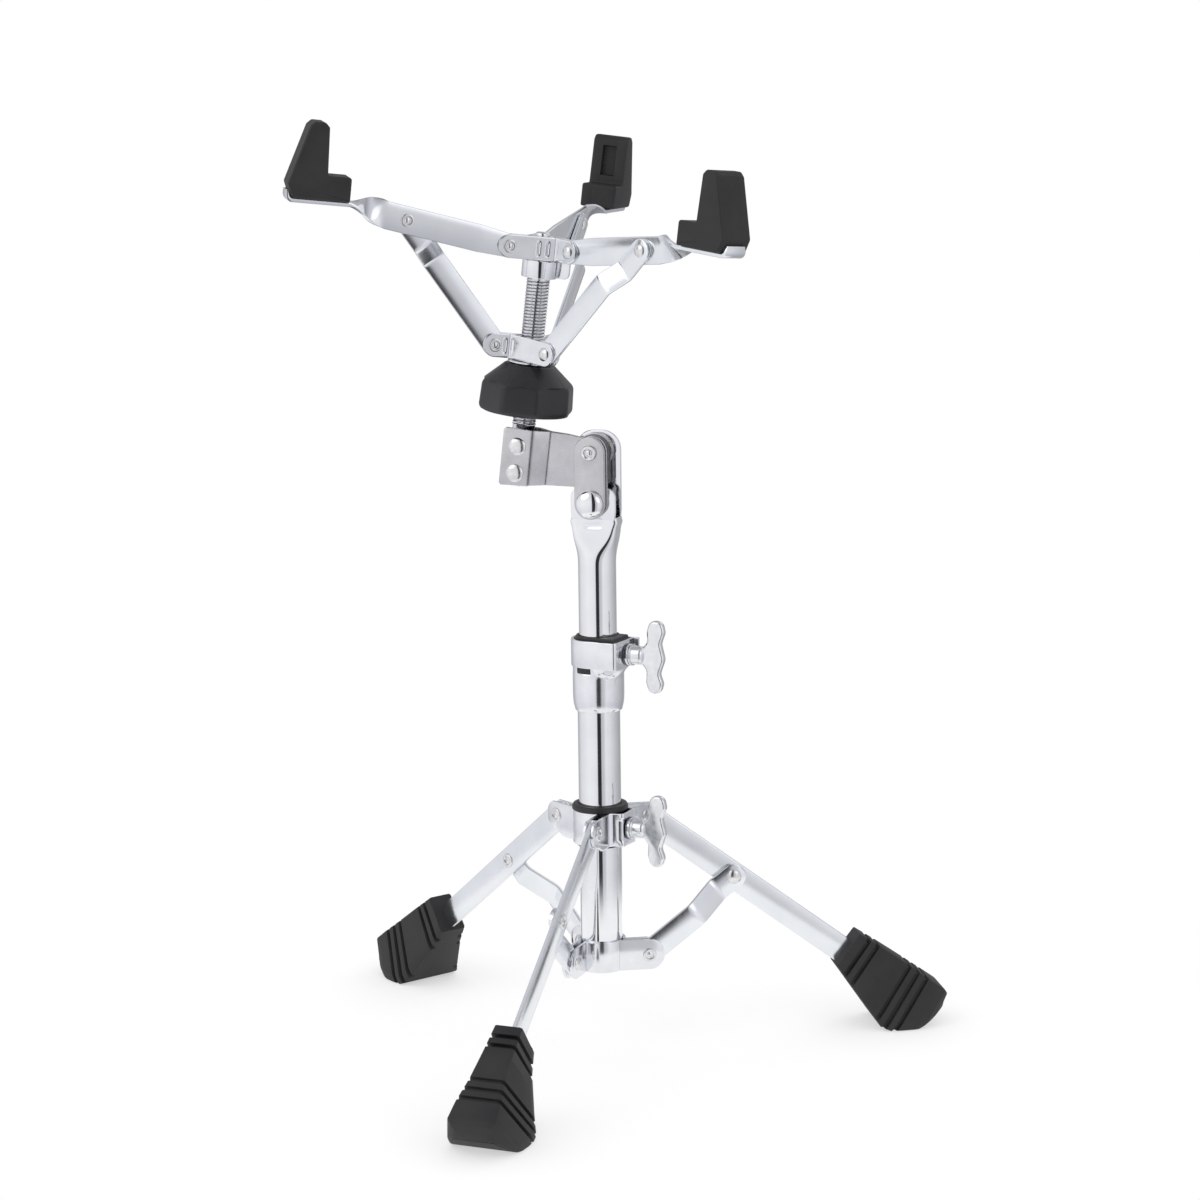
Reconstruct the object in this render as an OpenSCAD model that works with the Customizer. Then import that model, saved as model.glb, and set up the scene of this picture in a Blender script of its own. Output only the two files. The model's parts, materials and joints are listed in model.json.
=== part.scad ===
// Folding snare drum stand with a tilting three-arm basket and a sliding tripod.
// Millimetres. +Z is up, the floor is z = 0 and the column axis is x = y = 0.
// Leg 3 points along -Y. The tilter and the basket sit on the swivelling upper tube.

/* [Column] */
// Outside diameter of the base tube
base_tube_d = 28.6; // [28.2:0.1:28.6]
// Height of the base tube's lower end above the floor
base_tube_z0 = 53.0; // [52.5:0.1:53.2]
// Direction the two T bolts point, degrees from +X
bolt_dir = -6; // [-12:1:0]
// Height of the height clamp's T bolt
clamp_bolt_z = 272; // [271:0.5:273]

/* [Tripod] */
// Height of the leg pivots in the sliding hub
leg_pivot_z = 155.4; // [155:0.1:156]
// Width of a leg strip
leg_w = 18; // [16:0.5:18]
// Length of a leg from its pivot to the end inside the foot
leg_len = 236; // [228:1:238]
// Width of a foot across its toe
foot_w = 50; // [40:1:50]

/* [Basket] */
// Lean of the basket about the tilter hinge at rest, degrees
lean = 7; // [0:1:12]
// Turn of the upper tube in the base tube at rest, degrees
swivel = 4.3; // [0:0.1:8]
// Width of a basket arm strip
arm_w = 18; // [16:0.5:18]
// Width of a rubber tip
tip_w = 25; // [20:1:26]
// Widest diameter of the adjusting knob
knob_d = 64; // [58:1:64]

/* [Hidden] */
$fn = 64;
run = 0.05;
gap = 0.2;
base_r = base_tube_d / 2;
base_in_r = 12.95;
base_tube_z1 = 262;
upper_r = 12.7;
upper_in_r = 11.3;
upper_z0 = 152;

// tripod
leg_dirs = [30, 150, 270];
leg_t = 3.2;
leg_y = 8.3;
leg_pivot_r = 33.4;
leg_drop = 36.87;
knee_u = 74.1;
knee_r = leg_pivot_r + knee_u * cos(leg_drop);
knee_z = leg_pivot_z - knee_u * sin(leg_drop);
hub_z0 = 141.5;
hub_z1 = 164.5;
plate_t = 2;
low_hub_z0 = 53.2;
low_hub_z1 = 74.4;
brace_w = 17;
brace_y = -8.8;
brace_top_y = leg_y - leg_t - gap;
brace_r = 31;
brace_z = 63.5;
brace_len = norm([knee_r - brace_r, knee_z - brace_z]);
brace_up = atan2(knee_z - brace_z, knee_r - brace_r);

// tilter
hinge_z = 408;
bolt_z = 374;
cheek_z = 384;
strap_t = 2.4;
shaft_x = -51.5;

// basket, heights measured from the tilter hinge
arm_dirs = [90, -30, -150];
arm_t = 3;
arm_y = 5.5;
arm_pivot_r = 23;
arm_pivot_z = 128.2;
elbow_r = 91.7;
elbow_z = 139;
arm_up = atan2(elbow_z - arm_pivot_z, elbow_r - arm_pivot_r);
twist_r0 = 105;
twist_r1 = 131;
seat_z = 148;
spoke_w = 16;
spoke_y = -6.9;
spoke_top_y = arm_y - arm_t - gap;
spoke_r = 24;
spoke_z = 61;
spoke_len = norm([elbow_r - spoke_r, elbow_z - spoke_z]);
spoke_down = atan2(elbow_z - spoke_z, elbow_r - spoke_r);
thread_r = 8;

// ---- placing ----

module on_leg(i) {
  rotate([0, 0, leg_dirs[i]]) children();
}

module on_upper() {
  rotate([0, 0, swivel]) children();
}

module on_basket() {
  on_upper() translate([0, 0, hinge_z]) rotate([0, lean, 0]) children();
}

module on_arm(i) {
  on_basket() translate([shaft_x, 0, 0]) rotate([0, 0, arm_dirs[i]]) children();
}

// lays a shape drawn in the X-Z plane, with thickness t centred on y
module plate_at(y, t) {
  translate([0, y + t / 2, 0]) rotate([90, 0, 0]) linear_extrude(t) children();
}

module pin_y(x, z, y0, y1, r) {
  translate([x, y1, z]) rotate([90, 0, 0]) cylinder(r = r, h = y1 - y0);
}

// rounded bar from the origin along +X
module bar_2d(len, w, r0, r1) {
  union() {
    translate([0, 0]) circle(r = r0);
    translate([0, -w / 2]) square([len, w]);
    translate([len, 0]) circle(r = r1);
  }
}

// rivet lying along Y between two faces, with a domed head on one side and a rolled one on the other
module rivet(x, z, y0, y1, r, head, hole_top) {
  translate([x, 0, z]) rotate([90, 0, 0]) rotate_extrude() polygon([
    [0, -y1 - (hole_top ? 1.2 : 2)],
    [head * 0.55, -y1 - (hole_top ? 1.2 : 1.8)],
    [head, -y1 - 0.5],
    [head, -y1 - 0.02],
    [r, -y1 - 0.02],
    [r, -y0 + 0.02],
    [head, -y0 + 0.02],
    [head, -y0 + 0.5],
    [head * 0.55, -y0 + (hole_top ? 1.8 : 1.2)],
    [0, -y0 + (hole_top ? 2 : 1.2)],
  ]);
}

// half a rivet: a head on the face at y and a short stub into the plate behind it
module rivet_half(x, z, y, side, head) {
  translate([x, y, z]) rotate([side * 90, 0, 0]) rotate_extrude() polygon([
    [0, -1.7],
    [2.9, -1.7],
    [2.9, 0.02],
    [head, 0.02],
    [head, 0.6],
    [head * 0.6, 1.9],
    [0, 2.1],
  ]);
}

// flat strip that steps sideways: u along it, y across its thickness
module stepped_strip(len, w, t, y0, y1, u0, u1, r_end) {
  intersection() {
    translate([0, 0, -w]) linear_extrude(2 * w) polygon([
      [-w, y0 - t / 2],
      [u0, y0 - t / 2],
      [u1, y1 - t / 2],
      [len + w, y1 - t / 2],
      [len + w, y1 + t / 2],
      [u1 + t * 0.4, y1 + t / 2],
      [u0 + t * 0.4, y0 + t / 2],
      [-w, y0 + t / 2],
    ]);
    plate_at((y0 + y1) / 2, abs(y1 - y0) + 4 * t) bar_2d(len, w, r_end, r_end);
  }
}

// ---- column ----

module base_tube() {
  color("silver") translate([0, 0, base_tube_z0]) difference() {
    cylinder(r = base_r, h = base_tube_z1 - base_tube_z0);
    translate([0, 0, -1]) cylinder(r = base_in_r, h = 300);
  }
}

// outline of the clamp band: round at the back, a square corner towards the bolt
module band_2d(grow) {
  union() {
    circle(r = 16.2 + grow);
    rotate(bolt_dir) translate([0, -15.9 - grow]) square([20 + grow, 25.2 + grow * 2]);
  }
}

module height_clamp() {
  color("silver") difference() {
    union() {
      rotate_extrude() polygon([
        [base_r + 0.02, 233],
        [15.8, 233],
        [16.9, 237.5],
        [17.3, 244],
        [17.3, 258],
        [16.7, 259.5],
        [base_r + 0.02, 259.5],
      ]);
      translate([0, 0, 263.5]) linear_extrude(18.5) band_2d(2);
      rotate([0, 0, bolt_dir]) translate([0, -17.3, 256]) cube([17.5, 34.6, 9]);
      rotate([0, 0, bolt_dir]) translate([21.9, -8.4, clamp_bolt_z - 8.4]) cube([3.1, 16.8, 16.8]);
    }
    translate([0, 0, 263.4]) linear_extrude(30) band_2d(0.02);
    cylinder(r = base_r + 0.02, h = 300);
    translate([0, 0, clamp_bolt_z]) rotate([0, 90, bolt_dir]) cylinder(r = 4 + run, h = 40);
  }
}

module clamp_insert() {
  color("black") difference() {
    union() {
      translate([0, 0, 263.5]) linear_extrude(19) band_2d(0);
      translate([0, 0, 282.5]) linear_extrude(1.6) band_2d(-1.2);
    }
    translate([0, 0, 200]) cylinder(r = upper_r + run, h = 200);
    translate([0, 0, clamp_bolt_z]) rotate([0, 90, bolt_dir]) translate([0, 0, 17.5]) cylinder(r = 4.4, h = 40);
    translate([-40, -1, 262]) cube([30, 2, 40]);
  }
}

// T bolt lying along +X: screw, washer, boss and two lobes
module t_bolt(x0) {
  union() {
    translate([x0, 0, 0]) rotate([0, 90, 0]) cylinder(r = 4, h = 32 - x0);
    translate([25.3, 0, 0]) rotate([0, 90, 0]) cylinder(r = 7.2, h = 1.6);
    translate([26.8, 0, 0]) rotate([0, 90, 0]) cylinder(r = 6.2, h = 7.5);
    plate_at(0, 5.4) union() {
      translate([31, -5]) square([9, 10]);
      translate([40, 0]) circle(r = 7.5);
      polygon([[35, 4], [38, 18], [49.5, 18], [47.3, 0], [48.5, -19], [37, -19], [35, -4]]);
      translate([43.7, 18]) circle(r = 6.3);
      translate([42.7, -18.8]) circle(r = 6);
    }
  }
}

module clamp_bolt() {
  color("silver") translate([0, 0, clamp_bolt_z]) rotate([0, 0, bolt_dir]) t_bolt(17.7);
}

// ---- tripod ----

// slab that carries a fork, rounded about its pivot
module fork_slab(px, pz, y, slot, r_end, z0, z1) {
  plate_at(y, slot + 2 * plate_t) intersection() {
    union() {
      translate([2, z0]) square([px - 2, z1 - z0]);
      translate([px, pz]) circle(r = r_end);
    }
    translate([0, z0 + 0.2]) square([90, z1 - z0 - 0.4]);
  }
}

module fork_slot(y, slot, x_slot, z0, z1) {
  translate([x_slot, y - slot / 2, z0 - 1]) cube([60, slot, z1 - z0 + 2]);
}

module lower_hub() {
  slot = leg_t + 0.3;
  color("silver") difference() {
    union() {
      translate([0, 0, low_hub_z0]) cylinder(r = 16, h = low_hub_z1 - low_hub_z0);
      for (i = [0:2]) on_leg(i)
        fork_slab(brace_r, brace_z, brace_y, slot, 10.5, low_hub_z0, low_hub_z1);
    }
    translate([0, 0, low_hub_z0 - 1]) cylinder(r = base_r + 0.02, h = 40);
    for (i = [0:2]) on_leg(i) {
      fork_slot(brace_y, slot, 16, low_hub_z0, low_hub_z1);
      pin_y(brace_r, brace_z, -30, 20, 2.92);
    }
  }
}

module lower_hub_rivets() {
  half = leg_t / 2 + 0.15 + plate_t;
  color("silver") for (i = [0:2]) on_leg(i) {
    rivet_half(brace_r, brace_z, brace_y - half, 1, 4.6);
    rivet_half(brace_r, brace_z, brace_y + half, -1, 4.6);
  }
}

module leg_hub() {
  slot = leg_t + 0.3;
  color("silver") difference() {
    union() {
      translate([0, 0, hub_z0]) cylinder(r = 18.4, h = hub_z1 - hub_z0);
      for (i = [0:2]) on_leg(i)
        fork_slab(leg_pivot_r, leg_pivot_z, leg_y, slot, 10, hub_z0, hub_z1);
      rotate([0, 0, bolt_dir]) translate([14, -8.2, hub_z0 + 3]) cube([11, 16.4, 17]);
    }
    translate([0, 0, hub_z0 - 1]) cylinder(r = 16.4, h = 40);
    for (i = [0:2]) on_leg(i) {
      fork_slot(leg_y, slot, 21.5, hub_z0, hub_z1);
      pin_y(leg_pivot_r, leg_pivot_z, -20, 30, 3.02);
    }
    translate([0, 0, hub_z0 + 11.5]) rotate([0, 90, bolt_dir]) cylinder(r = 4 + run, h = 40);
  }
}

module hub_insert() {
  color("black") difference() {
    union() {
      translate([0, 0, hub_z0 - 1.5]) cylinder(r = 16.38, h = hub_z1 - hub_z0 + 2);
      translate([0, 0, hub_z1 + 0.02]) cylinder(r = 19, h = 2.2);
      translate([0, 0, hub_z1 + 2.2]) cylinder(r1 = 19, r2 = 18, h = 1.8);
    }
    translate([0, 0, hub_z0 - 9]) cylinder(r = base_r + run, h = 80);
    translate([-40, -1, hub_z0 - 9]) cube([30, 2, 80]);
  }
}

module hub_rivets() {
  half = leg_t / 2 + 0.15 + plate_t;
  color("silver") for (i = [0:2]) on_leg(i)
    rivet(leg_pivot_r, leg_pivot_z, leg_y - half, leg_y + half, 3, 5, false);
}

module hub_bolt() {
  color("silver") translate([0, 0, hub_z0 + 11.5]) rotate([0, 0, bolt_dir]) t_bolt(16.6);
}

module leg(i) {
  color("silver") on_leg(i) translate([leg_pivot_r, 0, leg_pivot_z]) rotate([0, leg_drop, 0])
    difference() {
      plate_at(leg_y, leg_t) union() {
        circle(r = leg_w / 2);
        translate([0, -leg_w / 2]) square([leg_len, leg_w]);
      }
      pin_y(0, 0, 0, 20, 3 + run);
      pin_y(knee_u, 0, 0, 20, 3.02);
    }
}

// side of a foot in the leg's own line: u along the leg, v above it
foot_uz = [[180, 67], [163.5, 44.5], [192, 3], [199, 0], [219, 0], [226, 3], [237, 11], [241.5, 23.5]];

module foot(i) {
  color("black") on_leg(i) difference() {
    intersection() {
      plate_at(leg_y, 60) polygon([for (p = foot_uz) [p[0], p[1]]]);
      translate([leg_pivot_r, leg_y, leg_pivot_z]) rotate([0, leg_drop, 0])
        translate([0, 0, -90]) linear_extrude(180) polygon([
          [160, -10.5],
          [184, -12.5],
          [208, -foot_w / 2 + 5],
          [222, -foot_w / 2],
          [270, -foot_w / 2],
          [270, foot_w / 2],
          [222, foot_w / 2],
          [208, foot_w / 2 - 5],
          [184, 12.5],
          [160, 10.5],
        ]);
    }
    translate([leg_pivot_r, leg_y, leg_pivot_z]) rotate([0, leg_drop, 0])
      translate([0, -leg_t / 2 - 0.02, -leg_w / 2 - 0.02]) cube([leg_len + 0.02, leg_t + 0.04, leg_w + 0.04]);
  }
}

module leg_rivet(i) {
  color("silver") on_leg(i)
    rivet(knee_r, knee_z, brace_top_y - leg_t / 2, leg_y + leg_t / 2, 3, 5, true);
}

module brace(i) {
  color("silver") on_leg(i) difference() {
    translate([knee_r, 0, knee_z]) rotate([0, 180 - brace_up, 0]) mirror([0, 0, 1])
      stepped_strip(brace_len, brace_w, leg_t, brace_top_y, brace_y, 15, 36, brace_w / 2);
    pin_y(knee_r, knee_z, -20, 20, 3 + run);
    pin_y(brace_r, brace_z, -30, 20, 3.4);
  }
}

// ---- upper tube and tilter ----

module tube_plug() {
  color("black") on_upper() difference() {
    union() {
      translate([0, 0, upper_z0 - 8]) cylinder(r = base_in_r - run, h = 7.9);
      translate([0, 0, upper_z0 - 8]) cylinder(r = upper_in_r - run, h = 22);
    }
    translate([0, 0, upper_z0 - 9]) cylinder(r = 8, h = 40);
  }
}

module oval_2d(r, x) {
  hull() {
    translate([-x, 0]) circle(r = r, $fn = 32);
    translate([x, 0]) circle(r = r, $fn = 32);
  }
}

module upper_tube() {
  color("silver") on_upper() difference() {
    union() {
      translate([0, 0, upper_z0]) cylinder(r = upper_r, h = 337 - upper_z0);
      hull() {
        translate([0, 0, 336.9]) cylinder(r = upper_r + 0.1, h = 0.1, $fn = 32);
        translate([0, 0, 362]) linear_extrude(0.1) oval_2d(7.4, 8.3);
      }
      plate_at(-6.6, 1.6) union() {
        translate([-15.7, 361]) square([31.4, cheek_z - 367]);
        translate([-9.7, 361]) square([19.4, cheek_z - 361]);
        translate([-9.7, cheek_z - 6]) circle(r = 6);
        translate([9.7, cheek_z - 6]) circle(r = 6);
      }
      plate_at(6.6, 1.6) union() {
        translate([-15.7, 361]) square([31.4, 47]);
        translate([-5.7, 361]) square([11.4, 60]);
        translate([-3.7, 409]) circle(r = 12);
        translate([3.7, 409]) circle(r = 12);
      }
    }
    translate([0, 0, upper_z0 - 1]) cylinder(r = upper_in_r, h = 338 - upper_z0);
    hull() {
      translate([0, 0, 336.8]) cylinder(r = upper_in_r - 0.1, h = 0.1, $fn = 32);
      translate([0, 0, 362.2]) linear_extrude(0.1) oval_2d(5.8, 8.3);
    }
    pin_y(0, hinge_z, -20, 20, 4.02);
    pin_y(0, bolt_z, -20, 20, 4.02);
  }
}

module link_2d() {
  union() {
    translate([-10.6, bolt_z]) square([21.2, hinge_z - bolt_z]);
    translate([0, bolt_z]) circle(r = 10.6);
    translate([0, hinge_z]) circle(r = 10.6);
  }
}

module link_plates() {
  color("silver") on_upper() difference() {
    union() {
      plate_at(-13.8, 2.3) link_2d();
      plate_at(-8.65, 2.2) link_2d();
    }
    pin_y(0, hinge_z, -20, 20, 4.02);
    pin_y(0, bolt_z, -20, 20, 4.02);
  }
}

// spacers between the link plates and the two friction discs beside the straps
module tilter_discs() {
  color("dimgray") on_upper() for (d = [[hinge_z, -12.62, -9.78, 9.4], [bolt_z, -12.62, -9.78, 8],
                                       [hinge_z, -7.5, -2.7, 11.4], [hinge_z, 2.7, 5.76, 11.4]])
    difference() {
      pin_y(0, d[0], d[1], d[2], d[3]);
      pin_y(0, d[0], -20, 20, 4.02);
    }
}

module tilter_pivot() {
  color("silver") on_upper() difference() {
    union() {
      pin_y(0, hinge_z, -17.8, 9.8, 4);
      pin_y(0, hinge_z, -17.4, -14.98, 5.2);
      pin_y(0, hinge_z, 7.43, 9.8, 5.6);
    }
    pin_y(0, hinge_z, -20, -15.4, 2);
  }
}

module lock_bolt() {
  color("silver") on_upper() union() {
    pin_y(0, bolt_z, -16, 22, 4);
    translate([0, -14.98, bolt_z]) rotate([90, 0, 0]) rotate_extrude() polygon([
      [0, 0], [9.5, 0], [9.5, 0.8], [8.6, 2.8], [6.6, 4.6], [3.6, 5.6], [0, 5.9]
    ]);
    pin_y(0, bolt_z, 7.43, 9, 8.5);
  }
}

module wing_nut() {
  color("silver") on_upper() difference() {
    union() {
      pin_y(0, bolt_z, 9.3, 16.5, 7);
      translate([0, 0, bolt_z]) rotate([0, 0, 90]) plate_at(0, 4.6) union() {
        polygon([[11, -4], [17, -6], [23, -19], [14, -19], [10.5, -8]]);
        polygon([[11, 4], [17, 6], [23, 19], [14, 19], [10.5, 8]]);
        translate([18.5, -19]) circle(r = 4.5);
        translate([18.5, 19]) circle(r = 4.5);
      }
    }
    pin_y(0, bolt_z, 0, 40, 4 + run);
  }
}

// side outline shared by the two straps, x from the hinge, z from the hinge
module strap_2d() {
  polygon([[-62, 6.5], [-60.5, 8], [-20, 8], [-8, 7], [8, -8], [-10, -26], [-41, -29], [-60.5, -31],
           [-62, -29.5]]);
}

module strap(side) {
  eye_y0 = side > 0 ? 0.06 : -0.04 - strap_t;
  color("silver") on_basket() difference() {
    union() {
      intersection() {
        plate_at(0, 40) strap_2d();
        translate([0, 0, -60]) linear_extrude(120) polygon([
          [-70, side * 7.55],
          [-42, side * 7.55],
          [-32, side * 0.05],
          [20, side * 0.05],
          [20, side * (0.05 + strap_t)],
          [-31, side * (0.05 + strap_t)],
          [-41, side * (7.55 + strap_t)],
          [-70, side * (7.55 + strap_t)],
        ]);
      }
      pin_y(0, 0, eye_y0, eye_y0 + strap_t - 0.02, 12);
    }
    pin_y(0, 0, -20, 20, 4 + run);
    for (z = [-3.9, -21.9]) pin_y(shaft_x, z, -20, 20, 3);
  }
}

module strap_rivets() {
  color("silver") on_basket() for (z = [-3.9, -21.9]) rotate([0, 0, 180])
    rivet(-shaft_x, z, -7.55 - strap_t, 7.55 + strap_t, 2.98, 6, false);
}

module basket_shaft() {
  color("silver") on_basket() translate([shaft_x, 0, 0]) difference() {
    rotate_extrude() polygon([
      [0, -31],
      [7, -31],
      [7.5, -30.5],
      [7.5, 10],
      [thread_r, 10.5],
      [thread_r, 108.6],
      [11.8, 108.6],
      [11.8, 120.3],
      [4, 120.3],
      [4, 136.1],
      [5.2, 136.1],
      [4.6, 137.6],
      [0, 138.6],
    ]);
    for (z = [-3.9, -21.9]) pin_y(0, z, -20, 20, 3);
  }
}

// ---- basket ----

module upper_bracket() {
  slot = arm_t + 0.3;
  color("silver") on_basket() translate([shaft_x, 0, 0]) difference() {
    union() {
      translate([0, 0, 120.4]) cylinder(r = 10.4, h = 15.6);
      for (d = arm_dirs) rotate([0, 0, d]) fork_slab(arm_pivot_r, arm_pivot_z, arm_y, slot, 7.8, 120.4, 136);
    }
    translate([0, 0, 110]) cylinder(r = 4.02, h = 40);
    for (d = arm_dirs) rotate([0, 0, d]) {
      fork_slot(arm_y, slot, 13, 120.4, 136);
      pin_y(arm_pivot_r, arm_pivot_z, -20, 20, 2.52);
    }
  }
}

module bracket_rivets() {
  half = arm_t / 2 + 0.15 + plate_t;
  color("silver") for (i = [0:2]) on_arm(i)
    rivet(arm_pivot_r, arm_pivot_z, arm_y - half, arm_y + half, 2.5, 4.4, false);
}

module spider() {
  slot = arm_t + 0.3;
  color("silver") on_basket() translate([shaft_x, 0, 0]) difference() {
    union() {
      translate([0, 0, 53]) cylinder(r = 11.4, h = 16);
      for (d = arm_dirs) rotate([0, 0, d]) fork_slab(spoke_r, spoke_z, spoke_y, slot, 8, 53, 69);
    }
    translate([0, 0, 40]) cylinder(r = thread_r + 0.3, h = 40);
    for (d = arm_dirs) rotate([0, 0, d]) {
      fork_slot(spoke_y, slot, 13, 53, 69);
      pin_y(spoke_r, spoke_z, -20, 20, 2.92);
    }
  }
}

module spider_rivets() {
  half = arm_t / 2 + 0.15 + plate_t;
  color("silver") for (i = [0:2]) on_arm(i) {
    rivet_half(spoke_r, spoke_z, spoke_y - half, 1, 4.4);
    rivet_half(spoke_r, spoke_z, spoke_y + half, -1, 4.4);
  }
}

module spider_washer() {
  color("silver") on_basket() translate([shaft_x, 0, 51.5]) difference() {
    cylinder(r = 15, h = 1.4);
    translate([0, 0, -1]) cylinder(r = thread_r + 0.3, h = 5);
  }
}

module knob() {
  r = knob_d / 2;
  color("black") on_basket() translate([shaft_x, 0, 0]) difference() {
    rotate_extrude() polygon([
      [12.02, 18],
      [r - 5, 18],
      [r - 1.5, 19.2],
      [r, 22],
      [r - 0.7, 36],
      [r - 1.6, 38.5],
      [17.5, 50],
      [16, 50.9],
      [12.02, 50.9],
    ]);
    for (k = [0:7]) rotate([0, 0, k * 45 + 10]) translate([r + 27.8, 0, 10]) cylinder(r = 30, h = 60);
  }
}

module knob_nut() {
  color("silver") on_basket() translate([shaft_x, 0, 18.6]) difference() {
    cylinder(r = 12, h = 32.3);
    translate([0, 0, -1]) cylinder(r = thread_r + run, h = 50);
  }
}

module arm(i) {
  len0 = (twist_r0 - arm_pivot_r) / cos(arm_up);
  z1 = seat_z - arm_t / 2;
  tw = twist_r1 - twist_r0;
  z0 = arm_pivot_z + (twist_r0 - arm_pivot_r) * tan(arm_up);
  color("silver") on_arm(i) difference() {
    union() {
      translate([arm_pivot_r, 0, arm_pivot_z]) rotate([0, -arm_up, 0]) plate_at(arm_y, arm_t) intersection() {
        union() {
          circle(r = 7.7);
          polygon([[0, -7.7], [0, 7.7], [20, arm_w / 2], [len0, arm_w / 2], [len0, -arm_w / 2], [20, -arm_w / 2]]);
        }
        translate([-20, -20]) square([20 + len0, 40]);
      }
      translate([twist_r0 - 0.2, arm_y, z0]) rotate([0, 90 - atan2(z1 - z0, tw), 0])
        linear_extrude(norm([tw, z1 - z0]) + 0.3, twist = -90, slices = 16, segments = 8)
          square([arm_w, arm_t], center = true);
      translate([twist_r1 - 0.2, arm_y - arm_w / 2, z1 - arm_t / 2]) cube([42, arm_w, arm_t]);
      translate([twist_r1 + 39.3, arm_y - arm_w / 2, z1 - arm_t / 2]) cube([2.5, arm_w, 8]);
    }
    pin_y(arm_pivot_r, arm_pivot_z, -20, 20, 2.5 + run);
    pin_y(elbow_r, elbow_z, -20, 20, 2.52);
  }
}

module tip(i) {
  z0 = seat_z + 0.02;
  color("black") on_arm(i) difference() {
    plate_at(arm_y, tip_w) polygon([
      [131.5, z0],
      [169, z0],
      [172.5, 157],
      [161, 194],
      [158, 197.3],
      [151.5, 197.5],
      [148.3, 194.5],
      [147, 164],
      [131.5, 164],
    ]);
    translate([146, arm_y - tip_w * 0.2, 170]) cube([4.5, tip_w * 0.4, 21]);
    translate([twist_r1 + 39.2, arm_y - arm_w / 2 - 0.05, z0 - 1]) cube([2.7, arm_w + 0.1, 7.6]);
  }
}

module arm_rivet(i) {
  color("silver") on_arm(i)
    rivet(elbow_r, elbow_z, spoke_top_y - arm_t / 2, arm_y + arm_t / 2, 2.5, 4.4, true);
}

module spoke(i) {
  color("silver") on_arm(i) difference() {
    translate([elbow_r, 0, elbow_z]) rotate([0, 180 - spoke_down, 0]) mirror([0, 0, 1])
      stepped_strip(spoke_len, spoke_w, arm_t, spoke_top_y, spoke_y, 20, 33, spoke_w / 2 - 0.2);
    pin_y(elbow_r, elbow_z, -20, 20, 2.5 + run);
    pin_y(spoke_r, spoke_z, -30, 20, 3.4);
  }
}

base_tube();
height_clamp();
clamp_insert();
clamp_bolt();
lower_hub();
lower_hub_rivets();
leg_hub();
hub_insert();
hub_rivets();
hub_bolt();
leg(0);  // leg_1
foot(0);  // foot_1
leg_rivet(0);  // leg_rivet_1
brace(0);  // brace_1
leg(1);  // leg_2
foot(1);  // foot_2
leg_rivet(1);  // leg_rivet_2
brace(1);  // brace_2
leg(2);  // leg_3
foot(2);  // foot_3
leg_rivet(2);  // leg_rivet_3
brace(2);  // brace_3
tube_plug();
upper_tube();
link_plates();
tilter_discs();
tilter_pivot();
lock_bolt();
wing_nut();
strap(-1);  // strap_front
strap(1);  // strap_rear
strap_rivets();
basket_shaft();
upper_bracket();
bracket_rivets();
spider();
spider_rivets();
spider_washer();
knob();
knob_nut();
arm(0);  // arm_1
tip(0);  // tip_1
arm_rivet(0);  // arm_rivet_1
spoke(0);  // spoke_1
arm(1);  // arm_2
tip(1);  // tip_2
arm_rivet(1);  // arm_rivet_2
spoke(1);  // spoke_2
arm(2);  // arm_3
tip(2);  // tip_3
arm_rivet(2);  // arm_rivet_3
spoke(2);  // spoke_3
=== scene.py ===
# %% [markdown]
# # A folding drum stand
# The real thing is made of drawn tube, flat strip and bent sheet, all chromium plated, with black rubber
# where it touches the floor and the drum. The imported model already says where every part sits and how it
# moves, so this lesson only gives each part its true surface: rolled edges, bent sheet, rivets, threads
# and moulded rubber. Each part is drawn in millimetres in its own local frame and then placed.

# %% Load the frame
import json
import math
import bmesh
import bpy
from mathutils import Matrix, Vector


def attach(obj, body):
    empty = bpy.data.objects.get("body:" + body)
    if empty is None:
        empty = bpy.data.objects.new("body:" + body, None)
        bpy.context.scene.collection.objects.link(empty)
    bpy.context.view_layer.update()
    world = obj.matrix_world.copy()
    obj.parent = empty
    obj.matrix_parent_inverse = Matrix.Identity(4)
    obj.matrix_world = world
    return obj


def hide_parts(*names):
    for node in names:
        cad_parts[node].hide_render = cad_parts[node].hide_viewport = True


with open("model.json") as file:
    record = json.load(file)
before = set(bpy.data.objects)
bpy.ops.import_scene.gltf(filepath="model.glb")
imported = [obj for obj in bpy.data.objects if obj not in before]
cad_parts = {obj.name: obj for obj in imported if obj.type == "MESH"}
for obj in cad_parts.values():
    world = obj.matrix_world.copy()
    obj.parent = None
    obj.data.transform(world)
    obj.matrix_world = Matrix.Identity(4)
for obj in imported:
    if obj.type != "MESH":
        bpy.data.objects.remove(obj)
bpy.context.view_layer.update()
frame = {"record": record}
record = frame["record"]
joints = {j["name"]: j for j in record["behaviour"]["joints"]}

# %% [markdown]
# ## Local frames
# Legs, straps and basket arms are easiest to draw flat, as if each one pointed along +X. A placing matrix
# then turns the drawing into the stand. The directions come from the joints: a leg folds about an axis
# that lies across it, so that axis is the local Y, and the upright direction is the local Z.

# %% Placing matrices
def placed_along(origin, across, up):
    y, z = Vector(across).normalized(), Vector(up).normalized()
    place = Matrix((y.cross(z), y, z)).transposed().to_4x4()
    place.translation = Vector(origin)
    return place


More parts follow.
